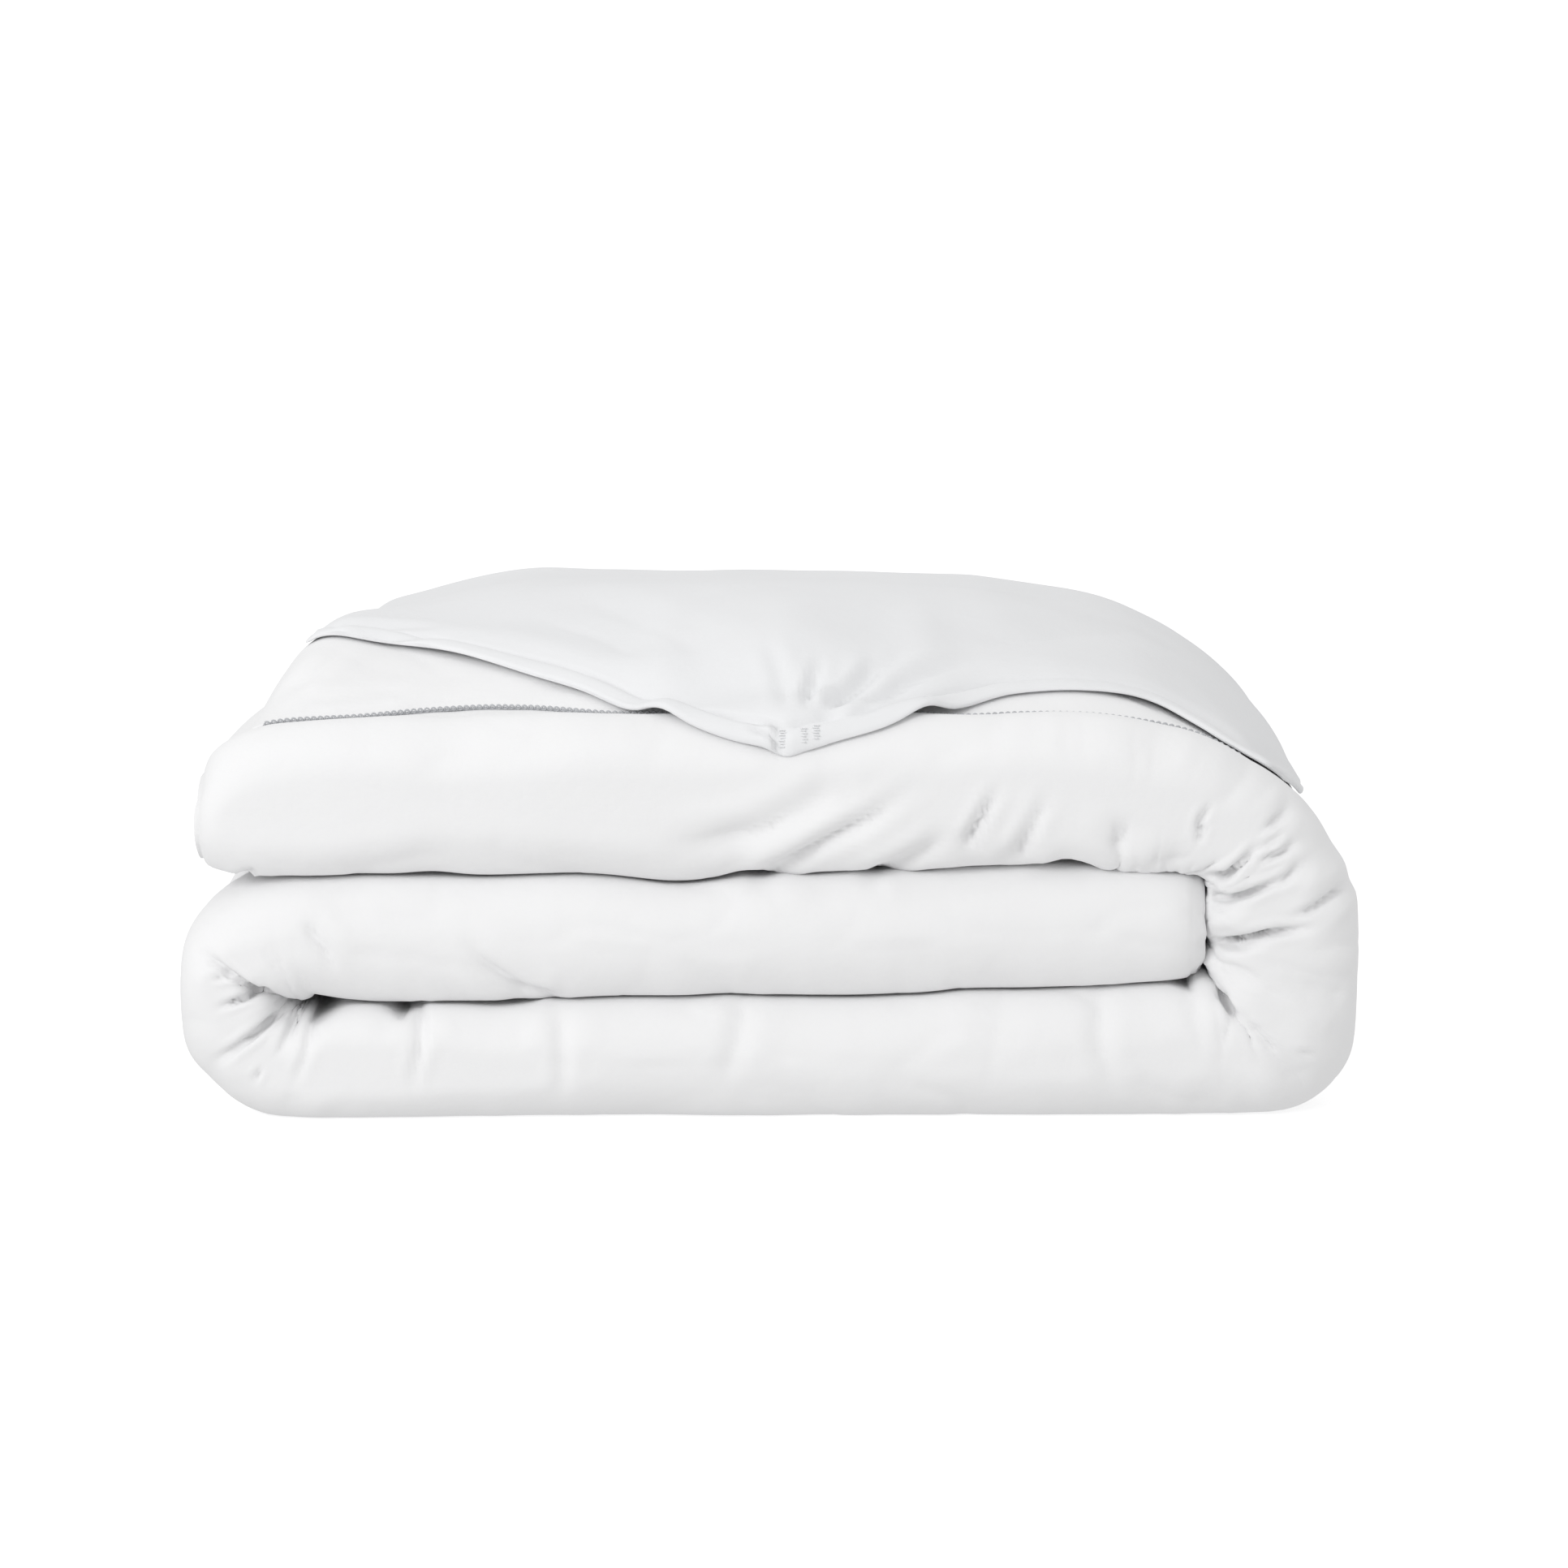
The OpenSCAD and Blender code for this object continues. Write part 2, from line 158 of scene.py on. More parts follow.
def spread(q):
    """How far each point is from the mean of its neighbours."""
    up = np.concatenate([q[1:], q[-1:]])
    down = np.concatenate([q[:1], q[:-1]])
    return q - (up + down + np.roll(q, 1, 1) + np.roll(q, -1, 1)) / 4


def settle(p, slack_u, slack_v, push, cap, limit, steps=30, sweeps=6, bend=0.35, squash=0.35):
    """Lets the cloth of a closed tube find its place: it is a little too long for its
    shape (slack), it is pushed out by its filling, and it can't stretch."""
    base = p.copy()

    def ends(q, kind):
        r = np.roll(q, -1, 1)
        return {"u": (q[:-1], q[1:]), "v": (q, r), "x": (q[:-1], r[1:]), "y": (r[:-1], q[1:])}[kind]

    rest = {}
    for kind in "uvxy":
        a, b = ends(p, kind)
        extra = {"u": slack_u[:-1], "v": slack_v}.get(kind, (slack_u[:-1] + slack_v[:-1]) / 2)
        rest[kind] = size(b - a) * (1 + extra)
    speed = np.zeros_like(p)
    for _ in range(steps):
        q = p + 0.86 * speed + normals(p) * push[..., None]
        for _ in range(sweeps):
            move = np.zeros_like(q)
            for kind in "uvxy":
                a, b = ends(q, kind)
                d = b - a
                length = np.maximum(size(d), 1e-6)
                c = 1 - rest[kind] / length
                c = np.where(c < 0, c * squash, c)
                c = np.clip(c, -0.5, 0.5)[..., None] * d * 0.5
                if kind == "u":
                    move[:-1] += c
                    move[1:] -= c
                elif kind == "v":
                    move += c
                    move -= np.roll(c, 1, 1)
                elif kind == "x":
                    move[:-1] += c
                    move[1:] -= np.roll(c, 1, 1)
                else:
                    move[:-1] += np.roll(c, 1, 1)
                    move[1:] -= c
            q += move * 0.32
        q -= bend * spread(spread(q - base))
        d = q - base
        q = base + d * np.minimum(1, cap / np.maximum(size(d), 1e-6))[..., None]
        q = limit(q)
        speed = q - p
        p = q
    return p


def creased(p, strokes, reach=lambda q: 1.0, plane=(0, 2)):
    """Presses the listed creases into a tube. A stroke is its line in the plane, its
    depth, the width of its valley, and the height of the ridge on each side."""
    n = normals(p)
    at = p[..., list(plane)]
    shift = np.zeros(p.shape[:2])
    for line, depth, width, ridge in strokes:
        line = evenly(np.array(line, float), 12)
        best = np.full(shift.shape, 1e9)
        place = np.zeros(shift.shape)
        d = along(line)
        for k in range(len(line) - 1):
            a, s = line[k], line[k + 1] - line[k]
            t = np.clip(((at - a) @ s) / (s @ s), 0, 1)
            gap = size(at - a - t[..., None] * s)
            near = gap < best
            best = np.where(near, gap, best)
            place = np.where(near, (d[k] + t * (d[k + 1] - d[k])) / d[-1], place)
        fade = ease(-0.06, 0.12, place) * (1 - ease(0.5, 1, place))
        fade = np.where(best > 6 * width, 0, fade)
        beside = np.exp(-((best - 2.1 * width) / (1.1 * width)) ** 2)
        shift += fade * (-depth * np.exp(-best / width) + ridge * beside)
    return p + n * (shift * reach(p))[..., None]


DOME_SHARES = (0.97, 0.9, 0.8, 0.65, 0.45, 0.25, 0.06)
DOME_ROWS = len(DOME_SHARES)


def domed(p, last, depth, power):
    """The tube with its first or last row drawn to a close over the given depth. A
    higher power gives a blunter end."""
    row, inner_row = (p[-1], p[-4]) if last else (p[0], p[3])
    nv = p.shape[1]
    across = (nv - np.arange(nv)) % nv
    middle = (row + row[across]) / 2
    out = (middle - (inner_row + inner_row[across]) / 2).mean(0)
    out[1] = 0
    out /= size(out)
    rings = []
    for share in DOME_SHARES:
        reach = depth * (1 - share ** power) ** (1 / power)
        ring_row = middle + (row - middle) * share + out * reach
        ring_row[:, 1] *= 1 - 0.035 * (1 - share)
        rings.append(ring_row)
    rings = np.array(rings)
    return np.concatenate([p, rings]) if last else np.concatenate([rings[::-1], p])


def linked(name, verts, faces):
    """A smooth-shaded object of vertices in millimetres and faces."""
    mesh = bpy.data.meshes.new(name)
    mesh.from_pydata((verts * MM).tolist(), [], faces)
    mesh.validate()
    mesh.polygons.foreach_set("use_smooth", [True] * len(mesh.polygons))
    obj = bpy.data.objects.new(name, mesh)
    bpy.context.scene.collection.objects.link(obj)
    return obj


def tube_mesh(name, p):
    """A closed tube p[along, around, xyz] as an object, with its two ends capped."""
    nu, nv = p.shape[:2]
    i, j = np.meshgrid(np.arange(nu - 1), np.arange(nv), indexing="ij")
    k = (j + 1) % nv
    quads = np.stack([i * nv + j, i * nv + k, (i + 1) * nv + k, (i + 1) * nv + j], -1)
    quads = quads.reshape(-1, 4).tolist()
    half = nv // 2
    for row, turn in ((0, True), ((nu - 1) * nv, False)):
        for m in range(half):
            face = [row + m, row + m + 1, row + nv - m - 1, row + (nv - m) % nv]
            if m == 0:
                face = face[:3]
            elif m == half - 1:
                face = [face[0], face[1], face[3]]
            quads.append(face[::-1] if turn else face)
    return linked(name, p.reshape(-1, 3), quads)


def loop(front_n, flat_n, back_n, reach, exponent=2.3):
    """The outline across a pad: (share of the nose's depth, share of the flat, share of
    the back's depth, height -1 to 1), from the middle of the front, up and round."""
    a = np.linspace(0, math.pi / 2, front_n + 1)
    nose = [(1 - math.cos(t) ** (2 / exponent), 0, 0, math.sin(t) ** (2 / exponent)) for t in a]
    dense = [(1, (k / flat_n) ** reach, 0, 1) for k in range(1, flat_n + 1)]
    b = np.linspace(0, math.pi / 2, back_n + 1)[1:]
    tail = [(1, 1, math.sin(t) ** (2 / exponent), max(math.cos(t), 0) ** (2 / exponent)) for t in b]
    upper = np.array(nose + dense + tail)
    lower = upper[-2:0:-1] * np.array([1, 1, 1, -1])
    return np.concatenate([upper, lower])


# ------------------------------------------------------------- the roll's path

gap_low = knots([(-340, 78), (-289, 75), (-230, 66), (-176, 66), (-113, 69), (-45, 71), (77, 70),
                 (158, 75), (262, 80)], 9, 1.3, 51)
gap_high = knots([(-340, 144.5), (-322, 143), (-305, 141), (-285, 138), (-172, 137), (-113, 139),
                  (-45, 134), (-14, 138.5), (23, 140), (158, 145), (212, 143.5), (262, 140)], 6, 1.3, 52)
roof = knots([(-344, 160), (-330, 178), (-322, 196), (-312, 208), (-300, 216), (-280, 222),
              (-158, 227), (-67, 226), (60, 225.5), (165, 226)], 6)
# where the strip starts, at the foot, and where it ends, at the head
END_X, HEAD_X = 243.0, -321.0


def mouth(x):
    """How far the bottom run drops away under the inner run, at the left bend."""
    return (1.0 + 15 * bump(x, -260, 15) + 7 * bump(x, -208, 8) + 2 * bump(x, -150, 20)
            + 5 * bump(x, 238, 10))


def lift(x):
    """How far the top run stands off the inner run."""
    return 1.0 + 4 * bump(x, -16, 9) + 5 * bump(x, 168, 13) + 5.5 * bump(x, 224, 11) + 2 * bump(x, -190, 16)


def roll_path(step):
    """Inner and outer contours of the rolled strip, point for point."""
    def line(x0, x1, low, high):
        x = np.linspace(x0, x1, max(int(abs(x1 - x0) / step), 2))
        return np.stack([x, low(x)], -1), np.stack([x, high(x)], -1)

    def bend(inner, outer, share=0.62):
        length = share * along(outer)[-1] + (1 - share) * along(inner)[-1]
        count = int(length / (0.72 * step))
        return evenly(inner, count)[1:-1], evenly(outer, count)[1:-1]

    runs = [line(END_X, LEFT_X, lambda x: gap_low(x) + 0.4, lambda x: gap_high(x) - 0.4)]
    cz, top = gap_low(LEFT_X), gap_high(LEFT_X)
    outer = np.concatenate([quadrant(LEFT_X, cz, 71, top - 0.4 - cz, 1.85, 90, 180, 60),
                            quadrant(LEFT_X, cz, 71, cz - 0.6, 2.05, 180, 270, 60)[1:]])
    low_lip = float(mouth(LEFT_X))
    inner = np.concatenate([quadrant(LEFT_X, cz, 20, 0.4, 1.4, 90, 180, 20),
                            quadrant(LEFT_X, cz, 20, low_lip, 1.4, 180, 270, 20)[1:]])
    runs.append(bend(inner, outer, 0.7))
    runs.append(line(LEFT_X, 238, lambda x: gap_low(x) - mouth(x), lambda x: 0.6 + 0 * x))
    outer = np.concatenate([quadrant(240, 82, 90.5, 81.4, 3.2, -90, 0, 60),
                            quadrant(165, 82, 165.5, 144, 2.12, 0, 90, 90)[1:]])
    inner = np.array([(238, 79), (246, 76), (253, 74), (249, 84), (247, 92), (249.5, 99), (247, 106),
                      (246, 116), (246, 128), (246.5, 137),
                      (243, 141), (236, 143), (214, 144.5), (190, 145)], float)
    runs.append(bend(inner, outer, 0.75))
    runs.append(line(165, HEAD_X, lambda x: gap_high(x) + lift(x), roof))
    inner = np.concatenate([r[0] for r in runs])
    outer = np.concatenate([r[1] for r in runs])
    return blur(inner, 2, 2), blur(outer, 4, 2), [len(r[0]) for r in runs]


STEP = 2.9
inner, outer, counts = roll_path(STEP)
stops = np.cumsum(counts)
nu = len(inner)
u_mm = along((inner + outer) / 2)
thick = size(outer - inner)

NOSE_N, FLAT_N, TAIL_N = 21, 26, 7
ring = loop(NOSE_N, FLAT_N, TAIL_N, 1.8, 2.12)
nv = len(ring)
UPPER = ring[:, 3]


def around(inner, outer, ring, front, nose, back, tail, scale, inset, foot=1.0):
    """Points of a pad between two contours. scale thins it, inset takes in its depth,
    and foot is how much of the nose's rounding its underside has."""
    nose = nose[:, None] * np.where(ring[None, :, 3] < 0, foot, 1.0)
    tail = tail[:, None]
    least = np.where(ring[None, :, 3] < 0, 0.5 + 0.5 * scale[:, None], scale[:, None])
    g = ring[None, :, 3] * least
    f = (1 + g) / 2
    y0 = front + inset
    y1 = back - inset
    flat = (y1 - y0)[:, None] - tail - nose
    y = y0[:, None] + ring[None, :, 0] * nose + ring[None, :, 1] * flat + ring[None, :, 2] * tail
    x = inner[:, None, 0] * (1 - f) + outer[:, None, 0] * f
    z = inner[:, None, 1] * (1 - f) + outer[:, None, 1] * f
    return np.stack([x, y, z], -1)


def rounded(distance, radius, least, n=2.2):
    """How full a pad is at a distance from its end: 1 beyond the radius, least at the end."""
    t = np.clip(1 - distance / radius, 0, 1)
    return least + (1 - least) * (1 - t ** n) ** (1 / n)


full = rounded(u_mm, 3, 0.98) * rounded(u_mm[-1] - u_mm, 8, 0.96)
inset = 4 * (1 - rounded(u_mm, 5, 0)) + 8 * (1 - rounded(u_mm[-1] - u_mm, 20, 0))
row = np.arange(nu)
in_run2 = row < stops[0]
in_left = (row >= stops[0]) & (row < stops[1])
in_run1 = (row >= stops[1]) & (row < stops[2])
in_right = (row >= stops[2]) & (row < stops[3])
in_top = row >= stops[3]
bend_left = blur(in_left.astype(float), 10)
bend_right = blur(in_right.astype(float), 10)
bending = np.maximum(bend_left, bend_right)
nose = 40 + 0.13 * (thick - 68) + 6 * drift(u_mm, 0, 120, 1, 5)
front_y = (FRONT + 2.2 + 2.5 * drift(u_mm, 0, 90, 1, 8)
           + 3 * blur(in_run2.astype(float), 8) - 2 * blur(in_top.astype(float), 12))
body = around(inner, outer, ring, front_y, nose, np.full(nu, BACK - 2.0), np.full(nu, 16.0), full, inset,
              1 - 0.62 * bend_right[:, None])

# the left end of the top run draws in towards the back
near_head = (1 - ease(0, 120, u_mm[-1] - u_mm))[:, None]
body[..., 0] += 24 * near_head * ease(-140, 120, body[..., 1])

# the slit between the two plies, open along the back
slit = np.exp(-(ring[:, 3] / 0.16) ** 2) * (ring[:, 2] > 0.2)
body[..., 1] -= 13 * slit[None, :] * full[:, None]

# Creases as seen from the front, in X and Z: line, depth, width of the valley and
# height of the ridges beside it. Folds are pressed in before the cloth settles,
# pinches after it.
folds = [
    # right bend
    ([(249, 101), (263, 105), (277, 110), (293, 112), (310, 114)], 8, 4.5, 4),
    ([(248, 128), (255, 128), (266, 132), (277, 137), (285, 144)], 7, 4.5, 3.5),
    ([(248, 142), (255, 143), (263, 151), (270, 159), (272, 165)], 7, 4, 3.5),
    ([(275, 169), (288, 178)], 4, 4, 2),
    ([(274, 152), (285, 156), (291, 162)], 5, 4, 2.5),
    ([(282, 137), (291, 145), (297, 155)], 3.5, 4.5, 2),
    ([(319, 133), (301, 123), (285, 117)], 4.5, 4.5, 2.5),
    ([(319, 73), (301, 80), (288, 86)], 3, 8, 1.5),
    ([(253, 73), (259, 64), (263, 57)], 6, 4, 2.5),
    ([(265, 60), (277, 48), (292, 28), (299, 16)], 2.6, 7, 1.8),
    ([(293, 34), (301, 15)], 3, 7, 1.6),
    ([(246, 76), (250, 56), (254, 34), (256, 16)], 2.6, 9, 1.2),
    # left bend
    ([(-284, 76), (-290, 77), (-301, 86), (-314, 95), (-323, 99)], 6, 4.5, 3),
    ([(-284, 76), (-292, 74), (-306, 69), (-314, 66)], 6, 4.5, 3),
    ([(-279, 61), (-294, 49), (-308, 39), (-317, 33)], 6.5, 5, 3),
    ([(-259, 64), (-270, 55), (-276, 42), (-287, 31), (-292, 25)], 5, 6, 2.5),
    ([(-257, 55), (-262, 39), (-270, 19), (-273, 8)], 3.5, 6, 2),
    ([(-259, 113), (-250, 100), (-243, 87)], 3, 5, 1.8),
    ([(-276, 91), (-287, 102)], 3, 9, 1.2),
    ([(-290, 145), (-305, 134)], 5, 4, 2.5),
    ([(-273, 138), (-292, 133), (-306, 126)], 5, 5, 2.5),
    # top run, drawn from the flap's corner and towards the bend
    ([(34, 192), (15, 180), (-6, 168), (-30, 163), (-53, 160), (-77, 159)], 5, 10, 3),
    ([(-6, 139), (12, 151), (34, 165), (55, 175), (76, 191), (92, 199)], 5.5, 8, 4),
    ([(55, 142), (69, 148), (88, 159), (102, 171), (112, 182)], 4.5, 7, 2.5),
    ([(109, 161), (121, 182), (130, 198)], 5, 5.5, 3),
    ([(137, 154), (149, 178), (158, 194)], 4, 6, 2.5),
    ([(192, 158), (197, 168), (202, 178)], 3.5, 11, 1.5),
    ([(240, 164), (238, 173), (245, 185)], 4.5, 4.5, 2.5),
    ([(-240, 141), (-220, 150), (-196, 156), (-170, 158)], 2.5, 10, 1.2),
    # inner run
    ([(-120, 71), (-140, 76), (-159, 91), (-176, 108)], 4, 5.5, 2.5),
    ([(-20, 74), (-34, 84), (-48, 96), (-58, 104)], 1.6, 8, 0.9),
    ([(108, 76), (96, 88), (82, 98), (70, 106)], 1.6, 9, 0.8),
    # bottom run
    ([(-198, 64), (-196, 48), (-201, 28), (-201, 14)], 3.2, 5.5, 2),
    ([(-118, 60), (-117, 31), (-120, 11)], 1.8, 7, 0.9),
    ([(-16, 66), (-18, 50), (-24, 32), (-28, 18)], 1.6, 8, 0.8),
    ([(130, 70), (128, 52), (124, 34), (118, 16)], 1.4, 9, 0.7),
    ([(186, 70), (184, 50), (190, 30), (200, 14)], 1.8, 9, 0.9),
]
pinches = [
    ([(248, 101), (263, 105), (277, 110), (293, 112), (310, 114)], 3.8, 2.1, 1.8),
    ([(254, 99), (266, 101), (277, 106)], 2.4, 1.8, 1.2),
    ([(248, 128), (255, 128), (266, 132), (277, 137), (285, 144)], 3.4, 2.1, 1.7),
    ([(248, 142), (255, 143), (263, 151), (270, 159), (272, 166)], 3.6, 2.1, 1.8),
    ([(275, 169), (288, 178)], 2.2, 1.8, 1.0),
    ([(274, 159), (289, 169)], 2.6, 1.8, 1.2),
    ([(274, 152), (285, 156), (291, 162)], 3.0, 1.8, 1.3),
    ([(282, 137), (291, 145), (297, 155)], 2.0, 2.2, 1.0),
    ([(320, 133), (301, 123), (285, 117)], 2.8, 2.0, 1.2),
    ([(254, 72), (259, 64), (262, 60)], 3.6, 2.0, 1.6),
    ([(270, 57), (274, 54)], 2.2, 1.6, 0.8),
    ([(277, 49), (284, 41)], 2.8, 1.6, 1.0),
    ([(297, 41), (307, 40)], 2.2, 1.8, 0.9),
    ([(-284, 76), (-290, 77), (-301, 86), (-314, 95), (-323, 99)], 4.5, 1.7, 1.3),
    ([(-303, 86), (-315, 84)], 3, 1.7, 1.0),
    ([(-284, 76), (-292, 74), (-306, 69), (-314, 66)], 5, 1.7, 1.3),
    ([(-279, 61), (-294, 49), (-308, 39), (-317, 33)], 3.6, 2.0, 1.3),
    ([(-287, 31), (-292, 25)], 3, 1.6, 1.0),
    ([(-262, 64), (-270, 55), (-276, 42)], 2.2, 2.2, 1.0),
    ([(-257, 55), (-262, 39), (-270, 19)], 1.6, 2.4, 0.8),
    ([(-290, 145), (-305, 134)], 3, 1.7, 1.0),
    ([(-259, 113), (-250, 100), (-243, 87)], 1.4, 2.0, 0.7),
    ([(-120, 71), (-140, 76), (-159, 91), (-176, 108)], 2.2, 2.6, 1.3),
    ([(36, 193), (15, 180), (-6, 169), (-30, 164), (-53, 161), (-77, 160)], 3.0, 6.5, 2.2),
    ([(-8, 140), (12, 151), (34, 165), (55, 175), (76, 191), (92, 199)], 3.4, 4.2, 2.2),
    ([(55, 142), (69, 148), (88, 159), (102, 171)], 2.4, 4.0, 1.6),
    ([(192, 158), (197, 168), (202, 178)], 2.4, 8, 1.2),
    ([(109, 161), (121, 182), (130, 198)], 3.2, 3.0, 2.0),
    ([(137, 154), (149, 178), (158, 194)], 2.4, 3.4, 1.5),
    ([(240, 164), (238, 173), (245, 185)], 2.2, 2.0, 1.0),
    ([(-198, 64), (-196, 48), (-201, 28), (-201, 14)], 2.2, 2.8, 1.3),
    ([(-118, 60), (-117, 31), (-120, 11)], 1.2, 4, 0.8),
    ([(-16, 66), (-18, 50), (-24, 32), (-28, 18)], 1.2, 5, 0.8),
    ([(186, 70), (184, 50), (190, 30), (200, 14)], 1.3, 5, 0.8),
]


def facing(p):
    return 1 - ease(FRONT + 48, FRONT + 85, p[..., 1])


body = creased(body, folds, facing)

f_share = (1 + UPPER[None, :] * np.ones((nu, 1))) / 2
tight = np.clip(1 - f_share, 0, 1) ** 1.6
uu, vv = u_mm[:, None] * np.ones((1, nv)), np.arange(nv)[None, :] * 4.0 * np.ones((nu, 1))
slack_u = 0.016 + 0.012 * drift(uu, vv, 55, 70, 21) + 0.06 * bending[:, None] * tight
slack_v = 0.012 + 0.008 * drift(uu, vv, 60, 90, 22) + 0 * uu
ripple = 0.8 * drift(uu, vv, 11, 70, 31) * (0.25 + 1.6 * bending[:, None]) + 0.5 * drift(uu, vv, 26, 60, 32)


def pleats(x, y, size_x, size_y, seed):
    """Valleys with sharp bottoms and round tops, -1 to 0."""
    return -(1 - np.abs(drift(x, y, size_x, size_y, seed))) ** 4


gather = bending[:, None] * (0.25 + 0.75 * np.clip(1.15 - f_share, 0, 1))
sway = 7 * drift(uu, vv, 60, 24, 40)
ripple += gather * (2.0 * pleats(uu + sway, vv, 17, 90, 41) + 0.8 * pleats(uu - sway, vv, 9, 60, 42))
ripple += 1.3 * pleats(uu + 0.5 * vv, vv - 0.3 * uu, 75, 46, 43) * (1 - bending[:, None])
front_part = facing(body)
body = body + normals(body) * (ripple * front_part)[..., None]
cap = (2.5 + 7.0 * front_part) * (0.35 + 0.65 * ease(0.0, 0.35, f_share + (1 - bending[:, None])))
cap = cap * np.minimum(1, 0.15 + u_mm / 20)[:, None] * np.minimum(1, 0.15 + (u_mm[-1] - u_mm) / 20)[:, None]
push = 0.03 + 0.06 * front_part + 0 * uu
under_return = (in_top | in_right)[:, None] & (UPPER[None, :] > 0.5) & (body[..., 1] > -196)
roof_cap = body[..., 2] + 0.0


def body_limit(q):
    x, z = q[..., 0], q[..., 2]
    low, high = gap_low(x), gap_high(x)
    r2, r1, rt = in_run2[:, None], in_run1[:, None], in_top[:, None]
    z = np.where(r2, np.clip(z, low + 0.3, high - 0.3), z)
    z = np.where(r1, np.minimum(z, low - mouth(x)), z)
    z = np.where(rt & (x < 232), np.maximum(z, high + lift(x)), z)
    z = np.where(in_left[:, None], np.minimum(z, high - 0.3), z)
    z = np.where(under_return, np.minimum(z, roof_cap), z)
    z = np.maximum(z, 0.3)
    x = np.where(in_right[:, None] & (z < 138) & (z > 84), np.maximum(x, END_X + 0.8), x)
    y = np.clip(q[..., 1], FRONT - 5, BACK)
    return np.stack([np.clip(x, -334, 332), y, z], -1)


body = settle(body, slack_u, slack_v, push, cap, body_limit, steps=34)
body = creased(body, pinches, facing)
# the seam just inside the end of the inner run
body -= normals(body) * (0.9 * bump(u_mm, 6, 1.6)[:, None] * facing(body))[..., None]
body[..., 2] = np.maximum(body[..., 2], 0.3)
body = domed(domed(body, True, 3.2, 4.5), False, 1.4, 7)
cover_roll = tube_mesh("cover_roll", body)


# ------------------------------------------------------- return layer and flap

# Both lie on the top run and share its rows: the outline of the roll in X and Z, the
# way out from it, and the height of the roll's cloth at each depth.
RET_Y = -198.0
YS = np.arange(-247.0, 243.0, 1.0)
tops = np.where((in_top | in_right) & (outer[:, 1] > 160) & (outer[:, 0] > -296))[0]
C = outer[tops]
slope = np.gradient(C, axis=0)
N = np.stack([slope[:, 1], -slope[:, 0]], -1) / size(slope)[:, None]
CX = C[:, 0]
outside = body[tops + DOME_ROWS, :NOSE_N + FLAT_N + TAIL_N + 1]
heights = ((outside[..., [0, 2]] - C[:, None]) * N[:, None]).sum(-1)
depths = np.maximum.accumulate(outside[..., 1], axis=1)
roll_h = np.stack([np.interp(YS, d, h) for d, h in zip(depths, heights)])
roll_h = blur(blur(roll_h, 3, 2).T, 2, 2).T
retreat = 24 * near_head[tops] * ease(-140, 120, YS)[None, :]

ret_thick = knots([(-297, 1.6), (-290, 7), (-283, 17), (-273, 28), (-262, 34), (-250, 35), (-225, 31),
                   (-203, 28), (-176, 24.5), (-140, 20), (-113, 17.5), (0, 17.5), (130, 17), (165, 14),
                   (209, 8), (235, 3.6), (261, 2.2), (332, 2)], 2)(CX)
ret_nose = 52 + 60 * (1 - ease(-240, -90, CX))
ret_front = RET_Y + 22 * bump(CX, -165, 72) + 2.2 * drift(CX, 0, 70, 1, 61)
t = np.clip((YS[None, :] - ret_front[:, None]) / ret_nose[:, None], 0, 1)
at_back_left = (1 - ease(-264, -133, CX))[:, None] * ease(-80, 150, YS)[None, :]
ret_h = roll_h + 1.6 + (ret_thick[:, None] - 1.6) * (1 - (1 - t) ** 1.7) * (1 - 0.7 * at_back_left)
ret_h += t * (1 - t) * (3.0 * drift(CX[:, None], YS[None, :], 46, 40, 62)
                        + 5 * pleats(CX[:, None] + YS[None, :], YS[None, :], 60, 90, 66))


def layer(rows, y_front, y_back, low_h, top_h, ring, nose, tail, lean):
    """A thin closed pad on the roll. low_h and top_h give its height at each depth, and
    lean is how much its thickness stands square to its own slope."""
    places = []
    for k, row in enumerate(rows):
        walk = np.concatenate([[0], np.cumsum(np.hypot(np.diff(YS), np.diff(low_h[row])))])
        walk -= np.interp(100, YS, walk)
        start, stop = np.interp([y_front[k], y_back[k]], YS, walk)
        w = start + ring[:, 0] * nose + ring[:, 1] * (stop - start - nose - tail) + ring[:, 2] * tail
        places.append((np.interp(w, walk, YS), w, start))
    line = along(C[rows])
    starts = np.array([p[2] for p in places])
    out = []
    for k, (row, (y, w, start)) in enumerate(zip(rows, places)):
        # distance to the front edge, the shortest way
        gap = np.hypot(line[k] - line[None, :], w[:, None] - starts[None, :]).min(1)
        base = np.interp(y, YS, low_h[row])
        thick = np.maximum(top_h(row, y, np.minimum(gap, w - start)), 0.5) * (ring[:, 3] + 1) / 2
        pitch = np.interp(y, YS, np.gradient(low_h[row], YS)) * lean * (1 - ease(-40, 60, y))
        level = 1 / np.sqrt(1 + pitch ** 2)
        h = base + thick * level
        y = y - thick * pitch * level
        x = C[row, 0] + N[row, 0] * h + np.interp(y, YS, retreat[row])
        out.append(np.stack([x, y, C[row, 1] + N[row, 1] * h], -1))
    return np.array(out)


ret_rows = np.arange(len(tops))
rring = loop(4, 62, 5, 1.25, 2.0)
ret_under = roll_h + 0.3
ret_end = rounded(along(C), 20, 0.4) * rounded(along(C)[-1] - along(C), 12, 0.5)


def ret_top(row, y, w):
    return np.interp(y, YS, ret_h[row] - ret_under[row]) * ret_end[row]


